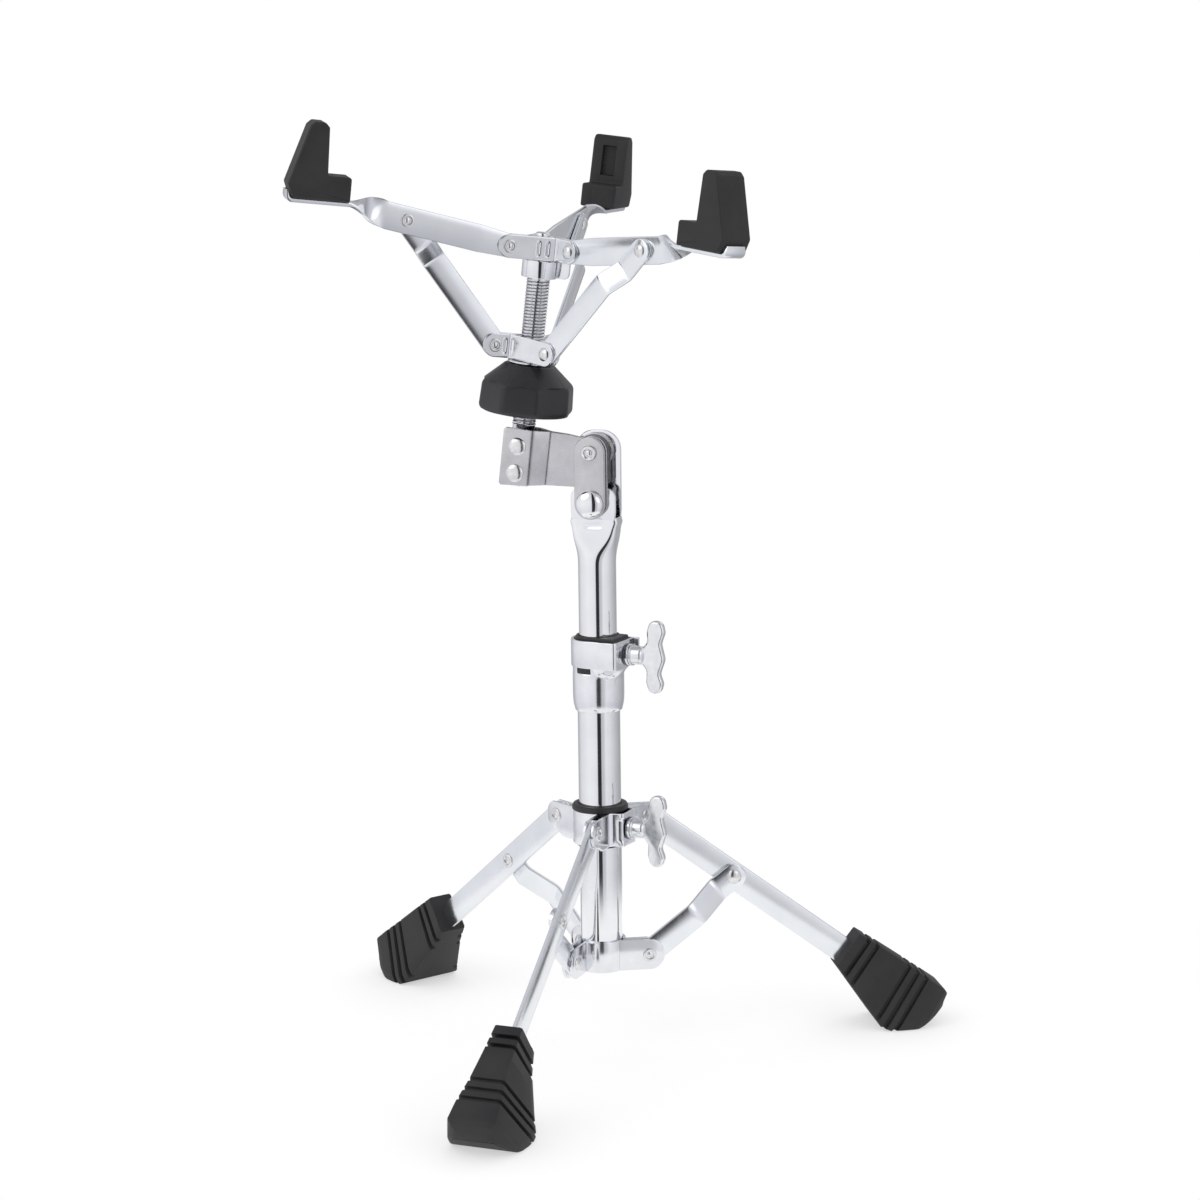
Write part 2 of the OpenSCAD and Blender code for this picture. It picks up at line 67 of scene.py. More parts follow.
hinge = joints["tilter_hinge"]
shaft_axis = Vector(joints["spider_slide"]["axis"])
foot_below_knob = 0.030
shaft_foot = Vector(joints["knob_turn"]["pos_m"]) - foot_below_knob * shaft_axis
column = Matrix.Identity(4)
upper = placed_along((0, 0, 0), hinge["axis"], (0, 0, 1))
tilter = placed_along(hinge["pos_m"], hinge["axis"], shaft_axis)
shaft = placed_along(shaft_foot, hinge["axis"], shaft_axis)
leg_place = [placed_along((0, 0, 0), joints[f"leg_{n}_fold"]["axis"], (0, 0, 1)) for n in (1, 2, 3)]
arm_place = [placed_along(shaft_foot, -Vector(joints[f"arm_{n}_lift"]["axis"]), shaft_axis)
             for n in (1, 2, 3)]
bolt_axis = Vector(joints["hub_bolt_turn"]["axis"])
bolt_place = placed_along((0, 0, 0), Vector((0, 0, 1)).cross(bolt_axis), (0, 0, 1))
print("basket leans", round(math.degrees(shaft_axis.angle(Vector((0, 0, 1)))), 1), "degrees")

# %% [markdown]
# ## Drawing with points
# A part could be carved from primitives, but sheet metal and turned parts are better drawn the way they are
# made. A turned part is a profile spun round an axis. A pressed part is an outline with a rounded rim.
# A bent strip is a cross-section carried along a path. Each helper returns points and faces.

# %% Joining, moving and turning
def joined(*shapes):
    points, faces = [], []
    for p, f in shapes:
        shift = len(points)
        points += list(p)
        faces += [tuple(i + shift for i in face) for face in f]
    return points, faces


def moved(shape, origin=(0, 0, 0), aim=(0, 0, 1)):
    turn = Vector((0, 0, 1)).rotation_difference(Vector(aim)).to_matrix()
    return [tuple(turn @ Vector(p) + Vector(origin)) for p in shape[0]], shape[1]


def turned(profile, n=96, hollow=False, flats=None):
    """A profile of (radius, height) spun round Z; flats(r, z, a) may change a radius with the angle."""
    points, rings = [], []
    for r, z in profile:
        if r < 1e-6:
            rings.append([len(points)])
            points.append((0.0, 0.0, z))
            continue
        rings.append(list(range(len(points), len(points) + n)))
        for k in range(n):
            a = 2 * math.pi * k / n
            q = flats(r, z, a) if flats else r
            points.append((q * math.cos(a), q * math.sin(a), z))
    faces = []
    pairs = list(zip(rings, rings[1:])) + ([(rings[-1], rings[0])] if hollow else [])
    for lower, higher in pairs:
        for k in range(n):
            j = (k + 1) % n
            if len(lower) == 1 and len(higher) == 1:
                break
            if len(lower) == 1:
                faces.append((lower[0], higher[j], higher[k]))
            elif len(higher) == 1:
                faces.append((lower[k], lower[j], higher[0]))
            else:
                faces.append((lower[k], lower[j], higher[j], higher[k]))
    return points, faces


def lofted(rings, looped=False):
    """Equal rings of points joined in order; both ends are closed, or the last ring joins the first."""
    n, points, faces = len(rings[0]), [p for ring in rings for p in ring], []
    for r in range(len(rings) if looped else len(rings) - 1):
        s = (r + 1) % len(rings)
        for k in range(n):
            j = (k + 1) % n
            faces.append((r * n + k, r * n + j, s * n + j, s * n + k))
    if not looped:
        faces += [tuple(range(n)), tuple(range(len(points) - n, len(points)))]
    return points, faces


print("a turned washer has", len(turned([(5, 0), (8, 0), (8, 1), (5, 1)], hollow=True)[1]), "faces")

# %% Small formulas used along the way
def ramp(x, start, run):
    """Rises from 0 at start to 1 one run further on."""
    return min(max((x - start) / run, 0.0), 1.0)


def window(x, start, end, run):
    """Is 1 between start and end and falls to 0 at both of them."""
    return min(ramp(x, start, run), ramp(-x, -end, run))


def bump(x, centre, width):
    return math.exp(-((x - centre) / width) ** 2)


def half_chord(r, near):
    """Half the width of a round end of radius r, a little way in from its tip."""
    return math.sqrt(max(r * r - (r - near) ** 2, 0.12))


print("a round end of radius 9 is", round(2 * half_chord(9, 3), 1), "mm wide 3 mm from its tip")

# %% Outlines with rounded corners
def rounded(corners, steps=6, closed=True):
    line = []
    for i, (x, y, r) in enumerate(corners):
        here = Vector((x, y))
        if r <= 0 or (not closed and i in (0, len(corners) - 1)):
            line.append((x, y))
            continue
        back = Vector(corners[i - 1][:2]) - here
        ahead = Vector(corners[(i + 1) % len(corners)][:2]) - here
        reach = min(back.length, ahead.length) * 0.499
        back.normalize()
        ahead.normalize()
        half = back.angle(ahead) / 2
        run = min(r / math.tan(half), reach)
        r = run * math.tan(half)
        centre = here + (back + ahead).normalized() * (r / math.sin(half))
        start, end = here + back * run - centre, here + ahead * run - centre
        sweep = math.pi - 2 * half
        for k in range(steps + 1):
            t = k / steps
            p = centre + (start * math.sin((1 - t) * sweep) + end * math.sin(t * sweep)) / math.sin(sweep)
            line.append((p.x, p.y))
    return line


def arc(cx, cy, r, a0, a1, steps=24):
    angles = [math.radians(a0 + (a1 - a0) * k / steps) for k in range(steps + 1)]
    return [(cx + r * math.cos(a), cy + r * math.sin(a)) for a in angles]


def shrunk(outline, d):
    area = sum(a[0] * b[1] - b[0] * a[1] for a, b in zip(outline, outline[1:] + outline[:1]))
    side = 1 if area > 0 else -1
    out = []
    for i, p in enumerate(outline):
        a, b = Vector(outline[i - 1]), Vector(outline[(i + 1) % len(outline)])
        e1, e2 = (Vector(p) - a).normalized(), (b - Vector(p)).normalized()
        n1, n2 = Vector((-e1.y, e1.x)) * side, Vector((-e2.y, e2.x)) * side
        m = (n1 + n2) / max(1 + n1.dot(n2), 0.4)
        out.append((p[0] + m.x * d, p[1] + m.y * d))
    return out


# %% Pressed plates
def pressed(outline, y, t, rim=0.5, steps=3, far_rim=None):
    """A plate drawn in X and Z, t thick, centred on y, with a rounded rim."""
    rings = []
    for face, width in ((-1, rim), (1, rim if far_rim is None else far_rim)):
        for k in range(steps + 1):
            a = math.pi / 2 * (k if face < 0 else steps - k) / steps
            ring = shrunk(outline, width * (1 - math.sin(a)))
            depth = y + face * (t / 2 - width * (1 - math.cos(a)))
            rings.append([(p[0], depth, p[1]) for p in ring])
    return lofted(rings)


square = [(-5, -5), (5, -5), (5, 5), (-5, 5)]
print("a pressed square plate has", len(pressed(square, 0, 2)[1]), "faces")


# %% Strips and bent sheet
def strip(stations, rim=0.5, rows=1):
    """stations are (centre, width direction, thickness direction, low, high, thickness, push)."""
    rings = []
    for centre, across, through, low, high, t, push in stations:
        e = min(rim, (high - low) * 0.3, t * 0.45)
        q = 0.29 * e
        rise = [low + e + (high - low - 2 * e) * k / rows for k in range(rows + 1)]
        pushes = [push(k / rows) if push else 0.0 for k in range(rows + 1)]
        section = [(u, t / 2 + s) for u, s in zip(rise, pushes)]
        section += [(high - q, t / 2 - q), (high, t / 2 - e), (high, e - t / 2), (high - q, q - t / 2)]
        section += [(u, s - t / 2) for u, s in zip(rise[::-1], pushes[::-1])]
        section += [(low + q, q - t / 2), (low, e - t / 2), (low, t / 2 - e), (low + q, t / 2 - q)]
        rings.append([tuple(Vector(centre) + Vector(across) * u + Vector(through) * v) for u, v in section])
    return lofted(rings)


def measured_path(line, coarse=2.0, fine=0.35, ends=12.0):
    """The path's points with their distance along it, closer together near both ends."""
    total = sum((Vector(b) - Vector(a)).length for a, b in zip(line, line[1:]))
    out, gone = [], 0.0
    for a, b in zip(line, line[1:]):
        a, b = Vector(a), Vector(b)
        length = (b - a).length
        if length < 1e-6:
            continue
        s = 0.0
        while s < length - 1e-6:
            out.append((a.lerp(b, s / length), gone + s))
            near = min(gone + s, total - gone - s)
            s += fine if near < ends else coarse
        gone += length
    out.append((Vector(line[-1]), total))
    kept = [out[0]]
    for p in out[1:]:
        if p[1] - kept[-1][1] > 0.15:
            kept.append(p)
    return kept, total


def bent_sheet(line, t, heights, rim=0.5, rows=1, push=None, ends=12.0):
    """A sheet t thick that stands on a line of X and Y points.

    heights(s, total, point) gives its low and high edges, and push(f, s, total) dents it.
    """
    path, total = measured_path(line, ends=ends)
    stations = []
    for i, (p, s) in enumerate(path):
        a, b = path[max(i - 1, 0)][0], path[min(i + 1, len(path) - 1)][0]
        run = (b - a).normalized()
        low, high = heights(s, total, p)
        press = (lambda f, s=s: push(f, s, total)) if push else None
        stations.append(((p.x, p.y, 0), (0, 0, 1), (-run.y, run.x, 0), low, high, t, press))
    return strip(stations, rim, rows)


def round_ends(low, high, r0, z0, r1, z1):
    """Edge heights for a sheet whose two ends are rounded about a pivot."""
    def heights(s, total, point):
        lo, hi = low, high
        for near, r, z in ((s, r0, z0), (total - s, r1, z1)):
            if near < r:
                lo, hi = max(lo, z - half_chord(r, near)), min(hi, z + half_chord(r, near))
        return lo, hi
    return heights


def bar_heights(w, r0, r1):
    """Edge heights for a bar w wide whose ends have radius r0 and r1; a radius of 0 is a square end."""
    def heights(s, total, p):
        half = w / 2
        for near, r in ((s, r0), (total - s, r1)):
            if near < r:
                half = min(half, half_chord(r, near))
        return -half, half
    return heights


print("a bar with round ends has", len(bent_sheet([(0, 0), (90, 0)], 3, bar_heights(18, 9, 9))[0]), "points")


# %% [markdown]
# ## From points to a piece
# A piece is a mesh in the stand's own frame that rides on one moving body. Edges that turn more than a
# chosen angle stay crisp and everything else shades smoothly, which is what keeps plated metal from
# looking faceted.

# %% Make a piece
def in_scene(name, data):
    made = bpy.data.objects.new(name, data)
    bpy.context.scene.collection.objects.link(made)
    return made


def piece(name, shape, place, finish, body, nodes=(), crisp=38):
    points, faces = shape
    mesh = bpy.data.meshes.new(name)
    mesh.from_pydata([tuple(place @ (Vector(p) * 0.001)) for p in points], [], faces)
    work = bmesh.new()
    work.from_mesh(mesh)
    bmesh.ops.remove_doubles(work, verts=work.verts, dist=2e-6)
    bmesh.ops.dissolve_degenerate(work, edges=work.edges, dist=1e-6)
    bmesh.ops.recalc_face_normals(work, faces=work.faces)
    limit = math.radians(crisp)
    for face in work.faces:
        face.smooth = True
    for edge in work.edges:
        edge.smooth = len(edge.link_faces) == 2 and edge.calc_face_angle(0.0) < limit
    work.to_mesh(mesh)
    work.free()
    made = in_scene(name, mesh)
    mesh.materials.append(finish)
    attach(made, body)
    if nodes:
        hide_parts(*nodes)
    return made

# %% [markdown]
# ## Finishes
# Chromium plate is close to a mirror, but it is never perfect: the polish leaves faint lines and handling
# leaves slight haze. Black rubber and moulded plastic are matt, with a fine sparkle from the mould. Both
# effects are used many times, so each is built once as a group of nodes and placed with its own values.

# %% Node helpers
def fill(made, values):
    for key, value in values.items():
        made.inputs[key].default_value = value


def node(tree, kind, x, y, values=None, **settings):
    """A new node; settings are its own fields and values are the constants on its sockets."""
    made = tree.nodes.new(kind)
    made.location = (x, y)
    for key, value in settings.items():
        setattr(made, key, value)
    fill(made, values or {})
    return made


def new_group(name, inputs, outputs):
    tree = bpy.data.node_groups.new(name, "ShaderNodeTree")
    for label, default in inputs:
        socket = tree.interface.new_socket(label, in_out="INPUT", socket_type="NodeSocketFloat")
        socket.default_value = default
    for label, kind in outputs:
        tree.interface.new_socket(label, in_out="OUTPUT", socket_type=kind)
    return tree, node(tree, "NodeGroupInput", -900, 0), node(tree, "NodeGroupOutput", 700, 0)


def wire(tree, *pairs):
    for source, target in pairs:
        tree.links.new(source, target)


def maths(tree, operation, a, b, x=0, y=0):
    made = node(tree, "ShaderNodeMath", x, y, operation=operation)
    for socket, value in zip(made.inputs, (a, b)):
        if isinstance(value, (int, float)):
            socket.default_value = value
        else:
            wire(tree, (value, socket))
    return made.outputs[0]


def main_shader(name):
    """A new material with its main shader."""
    made = bpy.data.materials.new(name)
    made.use_nodes = True
    return made, made.node_tree, next(n for n in made.node_tree.nodes if n.type == "BSDF_PRINCIPLED")


# %% Polish marks on plated metal
def build_polish():
    tree, given, out = new_group(
        "polish_marks",
        [("Haze Size", 60.0), ("Line Size", 900.0), ("Haze", 0.06), ("Lines", 0.03), ("Base", 0.05)],
        [("Roughness", "NodeSocketFloat"), ("Height", "NodeSocketFloat"), ("Cloud", "NodeSocketFloat")],
    )
    where = node(tree, "ShaderNodeTexCoord", -900, 300)
    cloud = node(tree, "ShaderNodeTexNoise", -600, 300, {"Detail": 4.0})
    stretch = node(tree, "ShaderNodeMapping", -750, -200, {"Scale": (1.0, 1.0, 0.06)})
    lines = node(tree, "ShaderNodeTexNoise", -600, -200, {"Detail": 2.0})
    wire(tree, (where.outputs["Object"], cloud.inputs["Vector"]),
         (where.outputs["Object"], stretch.inputs["Vector"]), (stretch.outputs[0], lines.inputs["Vector"]),
         (given.outputs["Haze Size"], cloud.inputs["Scale"]),
         (given.outputs["Line Size"], lines.inputs["Scale"]))
    haze = maths(tree, "MULTIPLY", cloud.outputs[0], given.outputs["Haze"], -300, 300)
    line = maths(tree, "MULTIPLY", lines.outputs[0], given.outputs["Lines"], -300, -100)
    rough = maths(tree, "ADD", maths(tree, "ADD", haze, line, -100, 200), given.outputs["Base"], 100, 200)
    height = maths(tree, "ADD", maths(tree, "MULTIPLY", cloud.outputs[0], 0.6), line, 100, -100)
    wire(tree, (rough, out.inputs["Roughness"]), (height, out.inputs["Height"]),
         (cloud.outputs[0], out.inputs["Cloud"]))
    return tree


polish_marks = build_polish()
print("polish_marks group has", len(polish_marks.nodes), "nodes")


# %% Mould texture on rubber and plastic
def build_mould():
    tree, given, out = new_group(
        "mould_texture",
        [("Grain Size", 2500.0), ("Grain", 0.5), ("Patch Size", 45.0), ("Base", 0.5), ("Spread", 0.2)],
        [("Roughness", "NodeSocketFloat"), ("Height", "NodeSocketFloat"), ("Patch", "NodeSocketFloat")],
    )
    where = node(tree, "ShaderNodeTexCoord", -900, 300)
    grain = node(tree, "ShaderNodeTexNoise", -600, 300, {"Detail": 3.0})
    patch = node(tree, "ShaderNodeTexNoise", -600, -100, {"Detail": 5.0})
    for texture, size in ((grain, "Grain Size"), (patch, "Patch Size")):
        wire(tree, (where.outputs["Object"], texture.inputs["Vector"]),
             (given.outputs[size], texture.inputs["Scale"]))
    spread = maths(tree, "MULTIPLY", patch.outputs[0], given.outputs["Spread"], -200, 0)
    rough = maths(tree, "ADD", spread, given.outputs["Base"], 0, 0)
    height = maths(tree, "MULTIPLY", grain.outputs[0], given.outputs["Grain"], 0, 300)
    wire(tree, (rough, out.inputs["Roughness"]), (height, out.inputs["Height"]),
         (patch.outputs[0], out.inputs["Patch"]))
    return tree


mould_texture = build_mould()
print("mould_texture group has", len(mould_texture.nodes), "nodes")


# %% Build the finishes
def finish(name, group, by, metallic, values, dark, light, strength, distance):
    made, tree, shader = main_shader(name)
    marks = node(tree, "ShaderNodeGroup", -600, 0, values, node_tree=group)
    tones = node(tree, "ShaderNodeValToRGB", -350, 250)
    for stop, position, tone in zip(tones.color_ramp.elements, (0.3, 0.7), (dark, light)):
        stop.position, stop.color = position, (*tone, 1)
    relief = node(tree, "ShaderNodeBump", -350, -250, {"Strength": strength, "Distance": distance})
    wire(tree, (marks.outputs[by], tones.inputs[0]), (tones.outputs[0], shader.inputs["Base Color"]),
         (marks.outputs["Roughness"], shader.inputs["Roughness"]),
         (marks.outputs["Height"], relief.inputs["Height"]), (relief.outputs[0], shader.inputs["Normal"]))
    shader.inputs["Metallic"].default_value = metallic
    return made


def metal(name, haze_size, haze, lines, base, dark, light, strength, distance):
    values = {"Haze Size": haze_size, "Haze": haze, "Lines": lines, "Base": base}
    return finish(name, polish_marks, "Cloud", 1.0, values, dark, light, strength, distance)


def moulding(name, grain_size, grain, base, spread, dark, light, strength, distance):
    values = {"Grain Size": grain_size, "Grain": grain, "Base": base, "Spread": spread}
    return finish(name, mould_texture, "Patch", 0.0, values, dark, light, strength, distance)


tube_chrome = metal("tube_chrome", 60.0, 0.05, 0.03, 0.03,
                    (0.80, 0.81, 0.83), (0.86, 0.87, 0.89), 0.02, 0.00004)
sheet_chrome = metal("sheet_chrome", 110.0, 0.12, 0.05, 0.07,
                     (0.76, 0.77, 0.80), (0.84, 0.85, 0.88), 0.05, 0.00005)
strip_chrome = metal("strip_chrome", 40.0, 0.10, 0.06, 0.10,
                     (0.78, 0.80, 0.83), (0.85, 0.87, 0.90), 0.04, 0.00005)
cast_chrome = metal("cast_chrome", 260.0, 0.16, 0.02, 0.10,
                    (0.74, 0.75, 0.77), (0.83, 0.84, 0.86), 0.10, 0.0001)
rivet_chrome = metal("rivet_chrome", 400.0, 0.14, 0.02, 0.12,
                     (0.70, 0.70, 0.70), (0.82, 0.82, 0.82), 0.06, 0.00008)
satin_steel = metal("satin_steel", 90.0, 0.12, 0.12, 0.16,
                    (0.50, 0.50, 0.51), (0.60, 0.60, 0.62), 0.06, 0.00006)
# This finish is the colour of the real dark friction discs, and it also paints shade on the thread core and
# the dark washer rims.
dark_steel_and_painted_shade = metal("dark_steel_and_painted_shade", 300.0, 0.2, 0.1, 0.25,
                   (0.16, 0.16, 0.17), (0.26, 0.26, 0.28), 0.1, 0.0001)
black_rubber = moulding("black_rubber", 2500.0, 0.6, 0.46, 0.30, (0.007, 0.007, 0.008), (0.021, 0.020, 0.021),
                        0.35, 0.0002)
black_plastic = moulding("black_plastic", 1600.0, 0.5, 0.36, 0.20, (0.007, 0.007, 0.008),
                         (0.016, 0.016, 0.018), 0.2, 0.00015)
knob_plastic = moulding("knob_plastic", 1300.0, 0.5, 0.33, 0.18, (0.006, 0.006, 0.007), (0.015, 0.015, 0.017),
                        0.25, 0.00015)
print(len(bpy.data.materials), "finishes ready")

# %% [markdown]
# ## The two tubes
# Both tubes are drawn steel with a thin wall, so each is a hollow profile spun round the column axis, with
# the cut ends slightly rolled over. The upper tube ends in a pressed flare: its round section is squeezed
# into an oblong, which is drawn as one loft so that the plating reflects in one clean sweep. A low bulge and
# a shallow dent lie just below the flat cheeks that hold the tilter.

# %% Base tube
base_r, base_in = 14.3, 12.95
base_profile = [(base_in, 53.6), (base_in + 0.4, 53.0), (base_r - 0.5, 53.0), (base_r, 53.5), (base_r, 261.5),
                (base_r - 0.5, 262), (base_in + 0.4, 262), (base_in, 261.6)]
piece("base_tube_drawn", turned(base_profile, 128, hollow=True), column, tube_chrome, "base", ["base_tube"])
plug_profile = [(8, 144), (12.4, 144), (12.88, 144.6), (12.88, 151.4), (12.5, 151.9), (11.2, 152),
                (11.2, 165.6), (10.8, 166), (8, 166)]
piece("glide_plug", turned(plug_profile, 96, hollow=True), upper, black_plastic, "plug", ["tube_plug"])
print("base tube is", 2 * base_r, "mm across")

# %% Upper tube with its pressed flare
def squeezed_ring(z, wide, deep, power, n=128):
    """A ring that is a circle when power is 2 and a rectangle with round corners when it is large."""
    ring = []
    for k in range(n):
        c, d = math.cos(2 * math.pi * (k + 0.5) / n), math.sin(2 * math.pi * (k + 0.5) / n)
        reach = (abs(c / wide) ** power + abs(d / deep) ** power) ** (-1 / power)
        ring.append((reach * c, reach * d, z))
    return ring


upper_r, upper_in = 12.7, 11.3
flare_from, flare_to = 332.0, 362.0


def flare():
    outer, inner = [], []
    for z in [152.0, 152.5, 200.0, 260.0, 310.0, 320.0] + [322.0 + k for k in range(43)]:
        t = ramp(z, flare_from, flare_to - flare_from)
        t = t * t * (3 - 2 * t)
        power = 2.0 + 7.0 * t * t
        dent = 0.7 * bump(z, 358.5, 1.5)
        ring = squeezed_ring(z, upper_r + 3.0 * t + 0.9 * bump(z, 360.5, 2.4), upper_r - 5.3 * t, power)
        outer.append([(x, y + (dent * math.exp(-(x / 6.5) ** 4) if y < 0 else 0), h) for x, y, h in ring])
        inner.append(squeezed_ring(z, upper_in + 3.0 * t, upper_in - 5.5 * t, power))
    return lofted(outer + inner[::-1], looped=True)


def cheek(y, top, corner, steps):
    outline = rounded([(-14.9, 362.2, 1), (14.9, 362.2, 1), (15.6, 368, 9), (15.6, top, corner),
                       (-15.6, top, corner), (-15.6, 368, 9)], steps)
    return pressed(outline, y, 1.6)


cheeks = joined(flare(), cheek(-6.6, 384, 7, 8), cheek(6.6, 421, 12.5, 10))
piece("upper_tube_flared", cheeks, upper, tube_chrome, "upper", ["upper_tube"])
print("upper tube flares over", flare_to - flare_from, "mm")

# %% [markdown]
# ## Height clamp
# One pressing does two jobs: a round sleeve grips the base tube, and above it a flat band with a square
# corner wraps a slotted plastic liner. Tightening the T bolt pulls the band in and the liner pinches the
# upper tube. The corner runs down into the sleeve as a soft neck, so the neck is a turned ring whose radius
# is pushed out towards the corner. A bright washer lies under each T bolt, and the rim of a dark washer
# below it is painted shade for the gap there.

# %% Clamp outline
bolt_z = [1000 * joints[name]["pos_m"][2] for name in ("height_bolt_turn", "hub_bolt_turn")]


def clamp_edge(a, grow):
    """Distance from the column axis to the outside of the clamp band, grown by a margin."""
    flat_x, near_y, far_y, round_r = 20, 15.9, 9.3, 16.2
    c, s = math.cos(a), math.sin(a)
    square = 0.0
    if c > 1e-3:
        square = min((flat_x + grow) / c, ((near_y if s < 0 else far_y) + grow) / max(abs(s), 1e-6))
    return max(round_r + grow, square)


def neck_edge(r, z, a):
    """The neck spreads to the corner between 80 degrees one way and 9 the other, with a slot beside it."""
    turn = math.degrees((a + math.pi) % (2 * math.pi) - math.pi)
    rise = ramp(z, 254.5, 9.5) ** 2.2
    if r < 16:
        return r
    if -122 < turn < -80 and z > 259:
        return 15.2
    if -80 <= turn <= 9:
        return 17.25 + (clamp_edge(a, 1.9) - 17.25) * rise - 0.9 * bump(turn, -44, 9) * bump(z, 259, 2.2)
    return 17.2


print("clamp corner is", round(clamp_edge(math.atan2(-15.9, 20), 0), 1), "mm from the column axis")


# %% Clamp sleeve, band and liner
sleeve_profile = [(14.33, 233.6), (14.7, 233), (15.3, 233), (15.8, 233.4), (16.35, 235.6), (16.85, 237.6),
                  (17.15, 240.6), (17.3, 244), (17.3, 257.9), (17.15, 258.9), (16.7, 259.5), (14.33, 259.5)]
neck_profile = [(14.6, 254.4), (17, 254.5)] + [(17, 255 + 0.75 * k) for k in range(12)]
neck_profile += [(17, 264.2), (14.6, 264.3)]
band_line = [(25.4, 10.3)] + arc(0, 0, 17.2, 36.8, 270, 60)
band_line += rounded([(0, -17.2, 0), (21, -16.95, 1.6), (21, 8.9, 0)], 8, closed=False)
band = bent_sheet(band_line, 2.0, lambda s, total, p: (263.5, 282.0), rim=0.55, ends=4.0)


def washers(z, start):
    """The dark washer begins at start, its rim painted shade for the gap beside the bright one, which lies
    between it and the T bolt.
    """
    dark = [(4.2, start), (7.2, start), (7.6, start + 0.3), (7.6, start + 1.0), (4.2, start + 1.1)]
    bright = [(4.2, 23.2), (7.0, 23.2), (7.3, 23.5), (7.3, 24.7), (7.0, 25.0), (4.2, 25.0)]
    return [moved(turned(profile, 64, True), (0, 0, z), (1, 0, 0)) for profile in (dark, bright)]


gap_shade_washer, washer_bright = washers(bolt_z[0], 22.0)
clamp = joined(washer_bright, turned(sleeve_profile, 128, True),
               turned(neck_profile, 240, True, neck_edge), band)
piece("height_clamp_pressed", clamp, bolt_place, sheet_chrome, "base", ["height_clamp"])
# The rim of this dark washer is painted shade for the gap beside the bright washer.
piece("clamp_gap_shade_washer", gap_shade_washer, bolt_place, dark_steel_and_painted_shade, "base")
edge = 100


def liner_edge(r, z, a):
    """A radius near edge means: this far from the band's own outline."""
    return r if r < edge / 2 else clamp_edge(a, r - edge)


liner_profile = [(12.78, 264.2), (13.2, 263.6), (edge - 0.4, 263.6), (edge - 0.05, 264), (edge - 0.05, 282.2),
                 (edge - 1.1, 282.5), (edge - 1.2, 283.5), (edge - 1.7, 284.1), (14.0, 284.1), (13.2, 283.7),
                 (12.78, 283.0)]
liner = joined(turned(liner_profile, 180, True, liner_edge),
               turned([(14.9, 259.4), (16.3, 259.4), (16.3, 263.7), (14.9, 263.7)], 96, True))
piece("clamp_liner", liner, bolt_place, black_plastic, "base", ["clamp_insert"])
print("clamp band runs", round(measured_path(band_line)[1]), "mm")

# %% [markdown]
# ## T bolts
# Each T bolt is a cast handle on a screw. The handle is a thick plate with two lobes for finger and thumb,
# and generous rounding everywhere because it was cast and tumbled before plating.

# %% Both T bolts
t_outline = rounded([(46.4, -11.5, 5), (50.1, -1.5, 6), (47.4, 9, 5), (50.3, 16.5, 5), (48.6, 24.3, 5.5),
                     (39.6, 24.3, 5.5), (37.3, 17, 5), (37.6, 9.5, 5), (34.2, 6.0, 2), (31.5, 5.4, 1),
                     (31.5, -5.4, 1), (34.2, -6.0, 2), (37.0, -9.5, 5), (36.6, -17.5, 5), (38.8, -24.8, 5.5),
                     (46.6, -24.8, 5.5), (49.0, -18, 5)], 7)
boss = [(0, 25.32), (6.9, 25.32), (7.2, 25.7), (7.2, 26.6), (6.9, 26.85), (6.2, 26.9), (6.2, 32.5),
        (5.9, 33.6), (5.0, 34.6), (3.4, 35.3), (0, 35.6)]
for name, z, start, body, cad in (("clamp_bolt", bolt_z[0], 17.8, "height_bolt", "clamp_bolt"),
                                  ("leg_bolt", bolt_z[1], 16.7, "hub_bolt_body", "hub_bolt")):
    screw = [(0, start), (3.6, start), (4, start + 0.5), (4, 25.4), (0, 25.4)]
    handle = joined(pressed(t_outline, 0, 5.4, 1.9, 6), moved(turned(boss, 64), aim=(1, 0, 0)),
                    moved(turned(screw, 48), aim=(1, 0, 0)))
    piece(name + "_cast", moved(handle, (0, 0, z)), bolt_place, cast_chrome, body, [cad], crisp=50)
    print(name, "sits", round(z), "mm above the floor")

# %% [markdown]
# ## Hubs of the tripod
# Three strips of sheet, each bent round the tube, form a hub: the straight ends of neighbouring strips lie
# face to face with a gap between them, and a leg or brace swings in that gap on a rivet. One strip of the
# upper hub also bulges into a flat pad for the T bolt. Both rivet places are named once and used for all
# legs.

# %% Neighbour helper and hub plates
def next_leg(x, y):
    c, s = math.cos(math.radians(120)), math.sin(math.radians(120))
    return x * c - y * s, x * s + y * c


def fork_heights(low, high, r, z, slope=0.55):
    """Edge heights for a plate with round ends that widens towards its middle."""
    def heights(s, total, p):
        near = min(s, total - s)
        half = half_chord(r, near) if near < r else r + slope * (near - r)
        return max(low, z - half), min(high, z + half)
    return heights


def hub_plate(reach, y_here, radius, y_next, corner, middle=None):
    """The plan line of one strip, from the slot of one leg round the tube to the slot of the next."""
    a0 = math.degrees(math.asin(y_here / radius))
    a1 = 120 + math.degrees(math.asin(y_next / radius))
    x0 = radius * math.cos(math.radians(a0))
    line = rounded([(reach, y_here, 0), (x0 + corner, y_here, 0)], 4, closed=False)
    line += middle or arc(0, 0, radius, a0, a1, 40)
    line += [next_leg(radius * math.cos(math.radians(a1 - 120)) + corner, y_next), next_leg(reach, y_next)]
    return line


leg_pin, brace_pin = (33.4, 155.4), (31.0, 63.5)
pad_turn, pad_out, hub_r = math.radians(84), 21.5, 17.4
c, s = math.cos(pad_turn), math.sin(pad_turn)
pad = [(pad_out * c - y * s, pad_out * s + y * c, 1.4) for y in (-8.6, 8.3)]
start, end = arc(0, 0, hub_r, 39.4, 50, 8), arc(0, 0, hub_r, 117, 138.6, 12)
around_pad = start + rounded([(*start[-1], 0), *pad, (*end[0], 0)], 6, closed=False)[1:-1] + end


def pad_dent(f, s, total):
    return 0.8 * window(s, 38.6, 44.2, 0.7) * window(f, 0.12, 0.86, 0.05)


